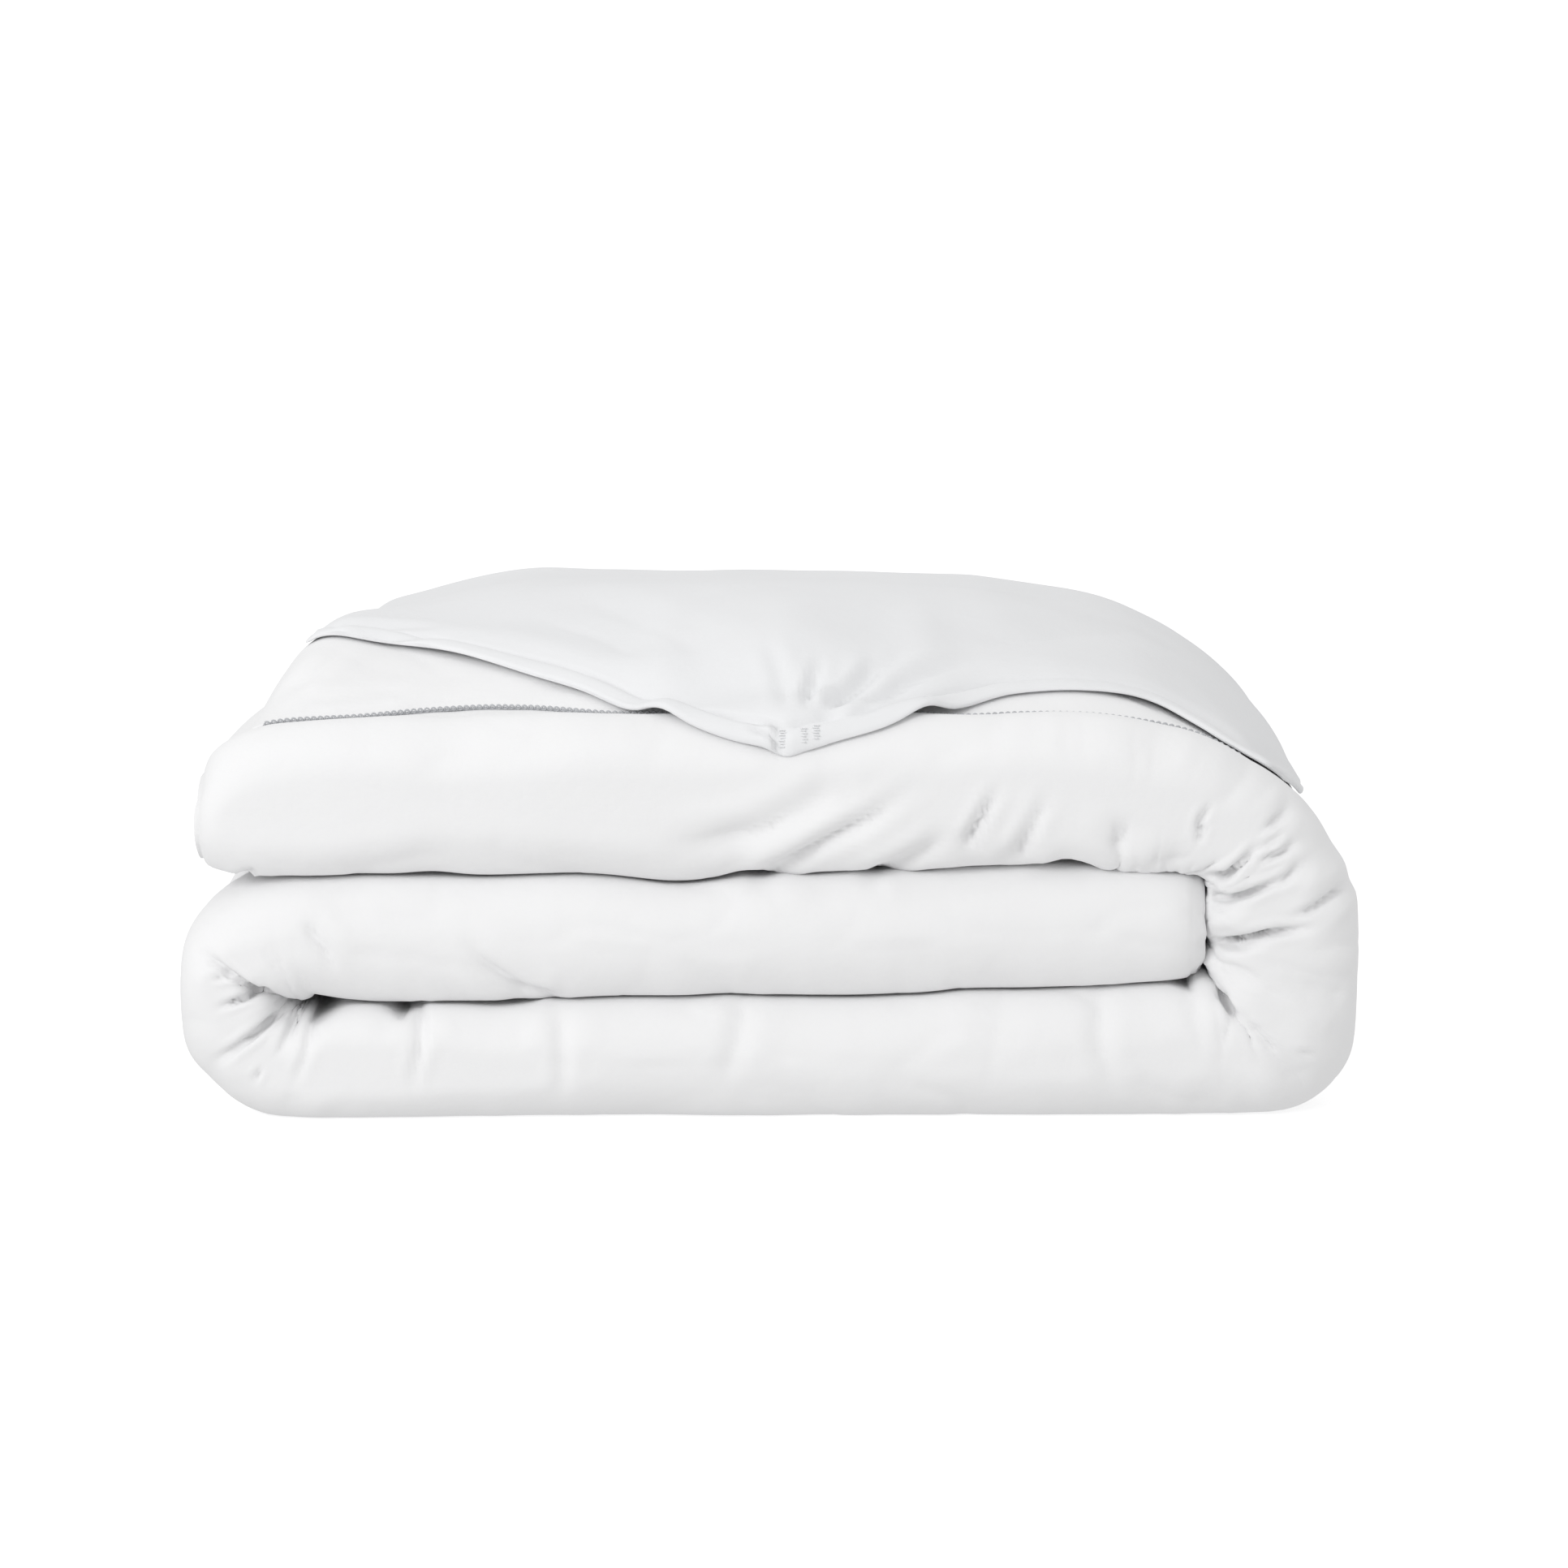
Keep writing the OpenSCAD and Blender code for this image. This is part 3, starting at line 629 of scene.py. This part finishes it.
ret_body = layer(ret_rows, ret_front, np.full(len(tops), HINGE_Y - 1), ret_under, ret_top, rring,
                 2.0, 8.0, 0.0)
ret_strokes = [
    ([(-262, -176), (-240, -170), (-214, -160), (-190, -150)], 1.6, 5, 0.9),
    ([(-276, -160), (-262, -140), (-250, -120), (-240, -100)], 2.0, 6, 1.2),
    ([(-210, -186), (-196, -172), (-180, -162), (-166, -156)], 1.3, 5, 0.7),
]
upper_side = (rring[None, :, 3] > 0.5) * 1.0
ret_body = creased(ret_body, ret_strokes, lambda q: (q[..., 2] > 200) * upper_side, (0, 1))
return_layer = tube_mesh("return_layer", domed(domed(ret_body, True, 3, 2), False, 2, 2))

# The flap lies on both, down to its front edge. The edge is known as it is seen from
# the front: across and up.
edge_seen = knots([(-300, 266), (-262, 270), (-253, 272.5), (-203, 269.5), (-176, 265), (-149, 256.5),
                   (-117, 246), (-95, 240.5), (-86, 236.8), (-69, 230.8), (-55, 226), (-42, 221),
                   (-26, 216), (-12, 211), (-4, 207.5), (7, 205), (17, 206.5), (24, 211), (39, 215),
                   (60, 219.5), (76, 226), (92, 232.5), (113, 237.5), (127, 241), (154, 243.2),
                   (176, 243.2), (203, 240.5), (221, 234), (240, 223.7), (258, 210), (276, 196.6),
                   (289, 183), (300, 167)], 1)
support = np.maximum(roll_h + 0.4, np.where(YS[None, :] > ret_front[:, None] - 1, ret_h, -99)) + 0.9
eased = np.maximum(blur(support.T, 8, 2).T, support - 0.4)
support += (eased - support) * ease(-226, -196, YS)[None, :]
# the corner stands off the cloth under it
support += 4.0 * bump(CX, 8, 15)[:, None] * (1 - ease(-234, -206, YS))[None, :]
# and so do parts of the edge
off = (0.8 + 2.6 * bump(CX, -178, 34) + 1.6 * bump(CX, -118, 26) + 2.8 * bump(CX, -60, 11)
       + 3.0 * bump(CX, 88, 13) + 1.6 * bump(CX, 214, 24))
support += off[:, None] * (1 - ease(-110, -30, YS))[None, :]
rows_f = np.where((CX > -270) & (C[:, 1] > 164))[0]
y_edge = []
for row in rows_f:
    over, up = seen(C[row, 0] + N[row, 0] * support[row] + retreat[row], YS,
                    C[row, 1] + N[row, 1] * support[row])
    short = (up - edge_seen(over))[YS < -90]
    # the first place from the front that shows high enough, or the nearest to it
    k = int(np.argmax(short >= 0)) if (short >= 0).any() else int(np.argmax(short))
    k = max(k, 1)
    part = np.clip(-short[k - 1] / max(short[k] - short[k - 1], 1e-6), 0, 1)
    y_edge.append(YS[k - 1] + part)
y_edge = np.maximum(np.clip(np.array(y_edge), -243, -90), -243 + 39 * ease(120, 215, CX[rows_f]))
y_edge = blur(y_edge, 2, 2)
# no steps beside the corner, which show when the flap is up
calm = blur(y_edge, 6, 3)
y_edge += (calm - y_edge) * 0.85 * (1 - bump(CX[rows_f], 8, 14))
# at the right end it runs back behind the swell of the bend
y_edge += 80 * (1 - ease(166, 194, C[rows_f, 1]))

flap_thick = knots([(-300, 5), (-270, 6), (-253, 8), (-203, 17), (-150, 29), (-110, 35), (0, 36),
                    (60, 34), (130, 28), (165, 22), (209, 18), (261, 15), (290, 11), (332, 6)], 4)(CX)
far_back = ease(-60, 196, YS)[None, :] * (0.62 - 0.27 * ease(160, 240, CX))[:, None]
flap_body = flap_thick[:, None] * (1 - far_back)
down_back = ease(HINGE_Y + 1, HINGE_Y + 15, YS)[None, :]
flap_low_back = support * (1 - down_back) + (roll_h + 0.6) * down_back
extra_back = support - flap_low_back
fring = loop(5, 78, 8, 1.75, 2.0)
flap_line = along(C[rows_f])
flap_end = rounded(flap_line, 22, 0.5) * rounded(flap_line[-1] - flap_line, 14, 0.35)
HEM = 14.0
hem_lap = 1.5 * ease(-80, -40, CX) * (CX < 2.5) - 2.6 * bump(CX, 6.2, 2.6)


def flap_top(row, y, w):
    full = np.interp(y, YS, flap_body[row]) * flap_end[row - rows_f[0]]
    hem = 2.6 + 1.3 * np.sin(np.clip(w / HEM, 0, 1) * math.pi)
    hem = hem - 2.3 * bump(w, HEM, 1.9) + hem_lap[row] * (1 - ease(HEM - 3, HEM, w))
    swell = np.minimum(hem + 3.5 * ease(HEM, HEM + 18, w), full)
    swell = swell + np.maximum(full - swell, 0) * ease(8, 165, w)
    return swell + np.interp(y, YS, extra_back[row])


flap = layer(rows_f, y_edge, np.full(len(rows_f), BACK - 1.0), flap_low_back, flap_top, fring,
             2.2, 14.0, 1.0)
top_side = np.where(fring[:, 3] > 0.98)[0]
sheet = flap[:, top_side]
soft_sheet = blur(blur(sheet, 2, 2).transpose(1, 0, 2), 2, 2).transpose(1, 0, 2)
inward = along(sheet[len(sheet) // 2])
softened = ease(17, 34, inward) * (1 - ease(-60, 0, -(inward[-1] - inward)))
flap[:, top_side] += (soft_sheet - sheet) * softened[None, :, None]
flap_strokes = [
    # the fan drawn from the corner, and the pinch at the left end
    ([(19, -222), (21, -208), (25, -190), (30, -168)], 3.6, 3.2, 2.2),
    ([(30, -222), (42, -208), (56, -188), (72, -164), (84, -150)], 4.6, 4.6, 3.2),
    ([(48, -214), (70, -196), (96, -172), (124, -150)], 3.8, 5.5, 2.6),
    ([(38, -214), (52, -188), (58, -168), (62, -150)], 2.4, 4.5, 1.6),
    ([(8, -222), (7, -200), (2, -176), (-6, -150)], 1.8, 4, 1.0),
    ([(-80, -150), (-96, -120), (-120, -90), (-150, -50)], 2.6, 12, 1.4),
    ([(-40, -160), (-70, -110), (-100, -60), (-120, 0)], 2.2, 14, 1.2),
    ([(-256, -110), (-236, -104), (-206, -100), (-180, -98)], 3.2, 5, 1.8),
    ([(-258, -88), (-236, -82), (-214, -80), (-190, -84)], 2.4, 6, 1.4),
    ([(120, -120), (160, -90), (200, -40), (230, 20)], 2.4, 16, 1.2),
]
flap = creased(flap, flap_strokes, lambda q: (fring[None, :, 3] > 0.4) * 1.0 + 0 * q[..., 0], (0, 1))
fuu = CX[rows_f][:, None] + 0 * flap[..., 0]
flap += normals(flap) * (0.5 * drift(fuu, flap[..., 1], 38, 46, 73) * (fring[None, :, 3] > 0.4))[..., None]
# the opening in the hem beside the corner, and the line of the hem running to it
opening = [
    ([(3.5, 212), (3.5, 218), (2.5, 224), (2.5, 228)], 4.5, 2.0, 0.8),
    ([(3, 223), (-3, 224), (-9, 225), (-14, 226)], 4.2, 1.8, 0.8),
]
flap = creased(flap, opening, lambda q: (fring[None, :, 3] > 0.4) * (q[..., 1] < -205) * 1.0)
flap_cover = tube_mesh("flap_cover", domed(domed(flap, True, 4, 2), False, 2, 2))


# ------------------------------------------------------------- stitched details

def cord(points, radius, sides=5):
    """Vertices and faces of a thin thread through the points."""
    points = np.asarray(points, float)
    ahead = np.gradient(points, axis=0)
    ahead /= np.maximum(size(ahead), 1e-9)[:, None]
    up = np.array([0.13, 0.21, 0.97])
    side = np.cross(ahead, up)
    side /= np.maximum(size(side), 1e-9)[:, None]
    top = np.cross(side, ahead)
    # counted backwards, so that the faces look outwards
    a = -np.arange(sides) * 2 * math.pi / sides
    circle = side[:, None] * np.cos(a)[None, :, None] + top[:, None] * np.sin(a)[None, :, None]
    verts = (points[:, None] + radius * circle).reshape(-1, 3)
    faces = [(i * sides + j, i * sides + (j + 1) % sides,
              (i + 1) * sides + (j + 1) % sides, (i + 1) * sides + j)
             for i in range(len(points) - 1) for j in range(sides)]
    last = (len(points) - 1) * sides
    return verts, faces + [tuple(range(sides - 1, -1, -1)), tuple(range(last, last + sides))]


def threads(name, cords):
    """One object of many cords."""
    verts, faces = [], []
    for v, f in cords:
        base = sum(len(a) for a in verts)
        verts.append(v)
        faces += [tuple(base + i for i in face) for face in f]
    return linked(name, np.concatenate(verts), faces)


def tape(x0, x1, y, z):
    """A tie that holds the duvet in the cover: a flat tape from x0 to x1, folded over once."""
    xs = np.linspace(x0, x1, 12)
    over = np.stack([xs, y + 0 * xs, z + 0.9 + 0.4 * np.sin((xs - x0) * 0.5)], -1)
    back = over[::-1] * [1, 1, 0] + [0, 0, z - 0.6]
    turn = np.array([[x1 + 0.8, y, z + 0.2]])
    v, f = cord(np.concatenate([over, turn, back]), 0.5, 6)
    v[:, 1] = y + (v[:, 1] - y) * 8
    return v, f


TIE_Y = 209.0
ties = [tape(214, 236, TIE_Y, z) for z in (81, 114)]
ties += [tape(x, x + 9, TIE_Y - 4, z) for x, z in ((-288, 168), (-284, 196))]
corner_tapes = threads("corner_tapes", ties)

# Hemstitch along the front of the band: a row of small loops and a cord behind them.
line_s = along(C)
front_h = np.array([np.interp(ret_front[k], YS, roll_h[k]) for k in range(len(C))])


def on_front(s, ahead, above):
    """A point at distance s along the band's front, ahead of it and above the roll."""
    k = [np.interp(s, line_s, a) for a in (C[:, 0], C[:, 1], N[:, 0], N[:, 1], front_h, ret_front)]
    h = k[4] + above
    return np.stack([k[0] + k[2] * h, k[5] - ahead, k[1] + k[3] * h], -1)


PITCH = 3.7
THREAD_R = 0.6
# on the right it ends where the flap's edge meets the roll
stitch_start = float(np.interp(-264, -CX, line_s))
stitch_cords = []
half_turn = np.linspace(0, math.pi, 7)
for k in range(int((line_s[-1] - 8 - stitch_start) / PITCH)):
    mid = stitch_start + PITCH * (k + 0.5)
    arc = on_front(mid + 1.45 * np.cos(half_turn), 1.0 + 0.8 * np.sin(half_turn),
                   0.7 + 2.1 * np.sin(half_turn))
    stitch_cords.append(cord(arc, THREAD_R))
fine_s = np.arange(stitch_start, line_s[-1] - 8, 1.2)
for turn in (0, math.pi):
    wave = 2 * math.pi * fine_s / PITCH + turn
    twist = on_front(fine_s, 0.7 + 0.35 * np.sin(wave), 0.7 + 0.35 * np.cos(wave))
    stitch_cords.append(cord(twist, THREAD_R))
hemstitch = threads("hemstitch", stitch_cords)

# Bar tacks at the flap's corner: short rows of stitches square to the edge.
tack_cords = []
tack_rows = [(6.5, 7), (18, 6), (25, 6)]
for tack_x, count in tack_rows:
    for k in range(count):
        x = tack_x + 0.75 * (k % 2) - 0.4
        row = int(np.argmin(abs(CX[rows_f] - tack_x)))
        reach_in = 2.5 + 1.7 * k
        way = along(flap[row, top_side])
        at = np.array([np.interp(reach_in, way, flap[row, top_side, c]) for c in range(3)])
        at[0] = x
        across = np.linspace(-1.6, 1.6, 5)
        arch = 0.35 + 0.35 * np.cos(across / 1.6 * math.pi / 2)
        tack_cords.append(cord(at + np.stack([across, -0.25 * across - 0.3 * arch, arch], -1), 0.42))
corner_tacks = threads("corner_tacks", tack_cords)


# ------------------------------------------------------------------ materials

def nodes_of(name):
    mat = bpy.data.materials.new(name)
    mat.use_nodes = True
    tree = mat.node_tree
    bsdf = tree.nodes["Principled BSDF"]
    return mat, tree, bsdf


WEAVE = 0.00042
WEAVE_STRENGTH = 0.25


def cotton(name, color):
    """Plain-weave cotton: threads both ways, a soft unevenness and a slight sheen."""
    mat, tree, bsdf = nodes_of(name)
    new, link = tree.nodes.new, tree.links.new
    coord = new("ShaderNodeTexCoord")
    # threads both ways
    waves = []
    for turn in (0, 1):
        wave = new("ShaderNodeTexWave")
        wave.wave_type = "BANDS"
        wave.bands_direction = "X" if turn == 0 else "Z"
        wave.inputs["Scale"].default_value = 0.5 / WEAVE
        wave.inputs["Distortion"].default_value = 0.6
        wave.inputs["Detail"].default_value = 1.0
        link(coord.outputs["Object"], wave.inputs["Vector"])
        waves.append(wave)
    weave_mix = new("ShaderNodeMath")
    weave_mix.operation = "MULTIPLY"
    link(waves[0].outputs["Fac"], weave_mix.inputs[0])
    link(waves[1].outputs["Fac"], weave_mix.inputs[1])
    soft = new("ShaderNodeTexNoise")
    soft.inputs["Scale"].default_value = 95
    soft.inputs["Detail"].default_value = 6
    soft.inputs["Roughness"].default_value = 0.6
    link(coord.outputs["Object"], soft.inputs["Vector"])
    bump1 = new("ShaderNodeBump")
    bump1.inputs["Strength"].default_value = 0.22
    bump1.inputs["Distance"].default_value = 0.0022
    link(soft.outputs["Fac"], bump1.inputs["Height"])
    bump2 = new("ShaderNodeBump")
    bump2.inputs["Strength"].default_value = WEAVE_STRENGTH
    bump2.inputs["Distance"].default_value = 0.00012
    link(weave_mix.outputs[0], bump2.inputs["Height"])
    link(bump1.outputs["Normal"], bump2.inputs["Normal"])
    link(bump2.outputs["Normal"], bsdf.inputs["Normal"])
    tone = new("ShaderNodeTexNoise")
    tone.inputs["Scale"].default_value = 9
    tone.inputs["Detail"].default_value = 4
    link(coord.outputs["Object"], tone.inputs["Vector"])
    ramp = new("ShaderNodeValToRGB")
    ramp.color_ramp.elements[0].position = 0.3
    ramp.color_ramp.elements[1].position = 0.7
    ramp.color_ramp.elements[0].color = (*[c * 0.975 for c in color], 1)
    ramp.color_ramp.elements[1].color = (*color, 1)
    link(tone.outputs["Fac"], ramp.inputs["Fac"])
    link(ramp.outputs["Color"], bsdf.inputs["Base Color"])
    rough = new("ShaderNodeMapRange")
    rough.inputs["To Min"].default_value = 0.78
    rough.inputs["To Max"].default_value = 0.92
    link(soft.outputs["Fac"], rough.inputs["Value"])
    link(rough.outputs["Result"], bsdf.inputs["Roughness"])
    bsdf.inputs["Sheen Weight"].default_value = 0.12
    bsdf.inputs["Sheen Roughness"].default_value = 0.5
    bsdf.inputs["Specular IOR Level"].default_value = 0.25
    return mat


def plain(name, color, low, high, scale=400):
    """A close-grained material for small and hidden pieces."""
    mat, tree, bsdf = nodes_of(name)
    new, link = tree.nodes.new, tree.links.new
    coord = new("ShaderNodeTexCoord")
    grain = new("ShaderNodeTexNoise")
    grain.inputs["Scale"].default_value = scale
    link(coord.outputs["Object"], grain.inputs["Vector"])
    ramp = new("ShaderNodeValToRGB")
    ramp.color_ramp.elements[0].color = (*[c * 0.9 for c in color], 1)
    ramp.color_ramp.elements[1].color = (*color, 1)
    link(grain.outputs["Fac"], ramp.inputs["Fac"])
    link(ramp.outputs["Color"], bsdf.inputs["Base Color"])
    rough = new("ShaderNodeMapRange")
    rough.inputs["To Min"].default_value = low
    rough.inputs["To Max"].default_value = high
    link(grain.outputs["Fac"], rough.inputs["Value"])
    link(rough.outputs["Result"], bsdf.inputs["Roughness"])
    bump = new("ShaderNodeBump")
    bump.inputs["Strength"].default_value = 0.2
    bump.inputs["Distance"].default_value = 0.0003
    link(grain.outputs["Fac"], bump.inputs["Height"])
    link(bump.outputs["Normal"], bsdf.inputs["Normal"])
    return mat


percale = cotton("percale", (0.885, 0.885, 0.89))
# The flap's cloth is a darker, slightly cooler copy of the percale. Part of that is a greyer cloth, and
# part is painted shade for the flap's upward-facing top, which takes less of the key light than the fronts.
percale_greyer_and_shaded = cotton("percale_greyer_and_shaded", (0.838, 0.843, 0.853))
for obj, mat in ((cover_roll, percale), (return_layer, percale), (flap_cover, percale_greyer_and_shaded)):
    obj.data.materials.append(mat)

looks = {
    "face_cotton": percale, "reverse_cotton": percale,
    "ticking": plain("ticking_weave", (0.88, 0.87, 0.85), 0.8, 0.95),
    "filling": plain("fibre", (0.92, 0.92, 0.91), 0.9, 1.0, 120),
    # the thread is a mid-grey, far darker than its own off-white: painted shade of the hemstitch's openwork
    # holes, which are not modelled
    "trim_thread": plain("thread", (0.52, 0.53, 0.55), 0.6, 0.8, 900),
    "button_resin": plain("resin", (0.90, 0.90, 0.88), 0.15, 0.3, 60),
    "tape": plain("woven_tape", (0.90, 0.90, 0.90), 0.75, 0.9, 700),
}
# the hemstitch takes the darkened thread, whose colour paints the shade in its openwork
hemstitch.data.materials.append(looks["trim_thread"])
corner_tapes.data.materials.append(looks["tape"])
# the tacks on the flap take the flap's copy, with its painted shade
corner_tacks.data.materials.append(percale_greyer_and_shaded)
slot_of = {s["node"]: s["material_slot"] for s in frame["record"]["subparts"]}
for node, obj in frame["nodes"].items():
    obj.data.materials.clear()
    obj.data.materials.append(looks[slot_of[node]])

# --------------------------------------------------------------------- stage

floor_mesh = bpy.data.meshes.new("floor")
turns = [math.radians(a) for a in range(0, 91, 6)]
sweep = [(-6, 0)] + [(1.2 + 1.6 * math.sin(a), 1.6 * (1 - math.cos(a))) for a in turns] + [(2.8, 6)]
floor_mesh.from_pydata([(x, y, z) for y, z in sweep for x in (-7, 7)], [],
                       [(2 * k, 2 * k + 1, 2 * k + 3, 2 * k + 2) for k in range(len(sweep) - 1)])
floor_mesh.polygons.foreach_set("use_smooth", [True] * len(floor_mesh.polygons))
floor = bpy.data.objects.new("floor", floor_mesh)
bpy.context.scene.collection.objects.link(floor)
mat, tree, bsdf = nodes_of("studio_floor")
bsdf.inputs["Base Color"].default_value = (0.8, 0.8, 0.8, 1)
bsdf.inputs["Roughness"].default_value = 0.9
bsdf.inputs["Emission Color"].default_value = (1, 1, 1, 1)
bsdf.inputs["Emission Strength"].default_value = 0.45
floor_mesh.materials.append(mat)
# the floor takes shadows but throws no light up at the duvet
floor.visible_diffuse = False
floor.visible_glossy = False

world = bpy.data.worlds.new("studio")
bpy.context.scene.world = world
world.use_nodes = True
background = world.node_tree.nodes["Background"]
background.inputs["Strength"].default_value = 0.80
# dimmer below the horizon than above it
new, link = world.node_tree.nodes.new, world.node_tree.links.new
sky_coord = new("ShaderNodeTexCoord")
sky_axes = new("ShaderNodeSeparateXYZ")
sky_ramp = new("ShaderNodeValToRGB")
link(sky_coord.outputs["Generated"], sky_axes.inputs["Vector"])
sky_range = new("ShaderNodeMapRange")
sky_range.inputs["From Min"].default_value = -1.0
sky_range.inputs["From Max"].default_value = 1.0
link(sky_axes.outputs["Z"], sky_range.inputs["Value"])
link(sky_range.outputs["Result"], sky_ramp.inputs["Fac"])
sky_ramp.color_ramp.elements[0].position = 0.30
sky_ramp.color_ramp.elements[0].color = (0.96, 0.96, 0.96, 1)
sky_ramp.color_ramp.elements[1].position = 0.72
sky_ramp.color_ramp.elements[1].color = (1, 1, 1, 1)
link(sky_ramp.outputs["Color"], background.inputs["Color"])


def softbox(name, place, aim, width, height, power):
    light = bpy.data.lights.new(name, "AREA")
    light.shape = "RECTANGLE"
    light.size, light.size_y, light.energy = width, height, power
    obj = bpy.data.objects.new(name, light)
    obj.location = place
    direction = np.array(aim) - np.array(place)
    obj.rotation_euler = Vector(direction).to_track_quat("-Z", "Y").to_euler()
    bpy.context.scene.collection.objects.link(obj)
    return obj


KEY_WATTS, TOP_WATTS = 27, 3
softbox("key", (-1.6, -2.35, 1.5), (0, -0.1, 0.12), 1.0, 1.0, KEY_WATTS)
softbox("top", (-0.3, 0.3, 2.6), (0, 0, 0.1), 2.0, 2.0, TOP_WATTS)
bpy.context.scene.view_settings.view_transform = "Standard"

# -------------------------------------------------------------------- camera

camera = bpy.data.cameras.new("camera")
camera.lens = 107.2
camera.sensor_width = 36
cam = bpy.data.objects.new("camera", camera)
aim = np.array(LOOK_AT) * MM
back = np.array([0, -math.cos(ELEVATION), math.sin(ELEVATION)])
cam.location = aim + AWAY * MM * back
cam.rotation_euler = (math.pi / 2 - ELEVATION, 0, 0)
bpy.context.scene.collection.objects.link(cam)
bpy.context.scene.camera = cam

# ------------------------------------------------------------------- the table

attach(cover_roll, "stack")
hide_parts("cover_face_panel", "cover_reverse_panel", "side_seam_lower_ply",
            "side_seam_upper_ply", "foot_hem", "head_seam")
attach(return_layer, "stack")
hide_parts("return_upper_panel", "return_lower_panel", "hem_band")
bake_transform(flap_cover)
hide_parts("flap_upper_panel", "flap_lower_panel", "back_fold_panel", "flap_hem")

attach(hemstitch, "stack")
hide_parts("hemstitch_cord")
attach(corner_tacks, "flap")
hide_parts("corner_stitches")

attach(corner_tapes, "stack")
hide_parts("corner_ties")

soft_fill = [n for n, s in slot_of.items() if s in ("filling", "ticking")]
stack_fill = [n for n in soft_fill if n != "flap_fill"]
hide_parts(*[n for n in stack_fill if not n.startswith(("return", "back"))])
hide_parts("return_fill", "back_fold_fill")
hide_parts("flap_fill")
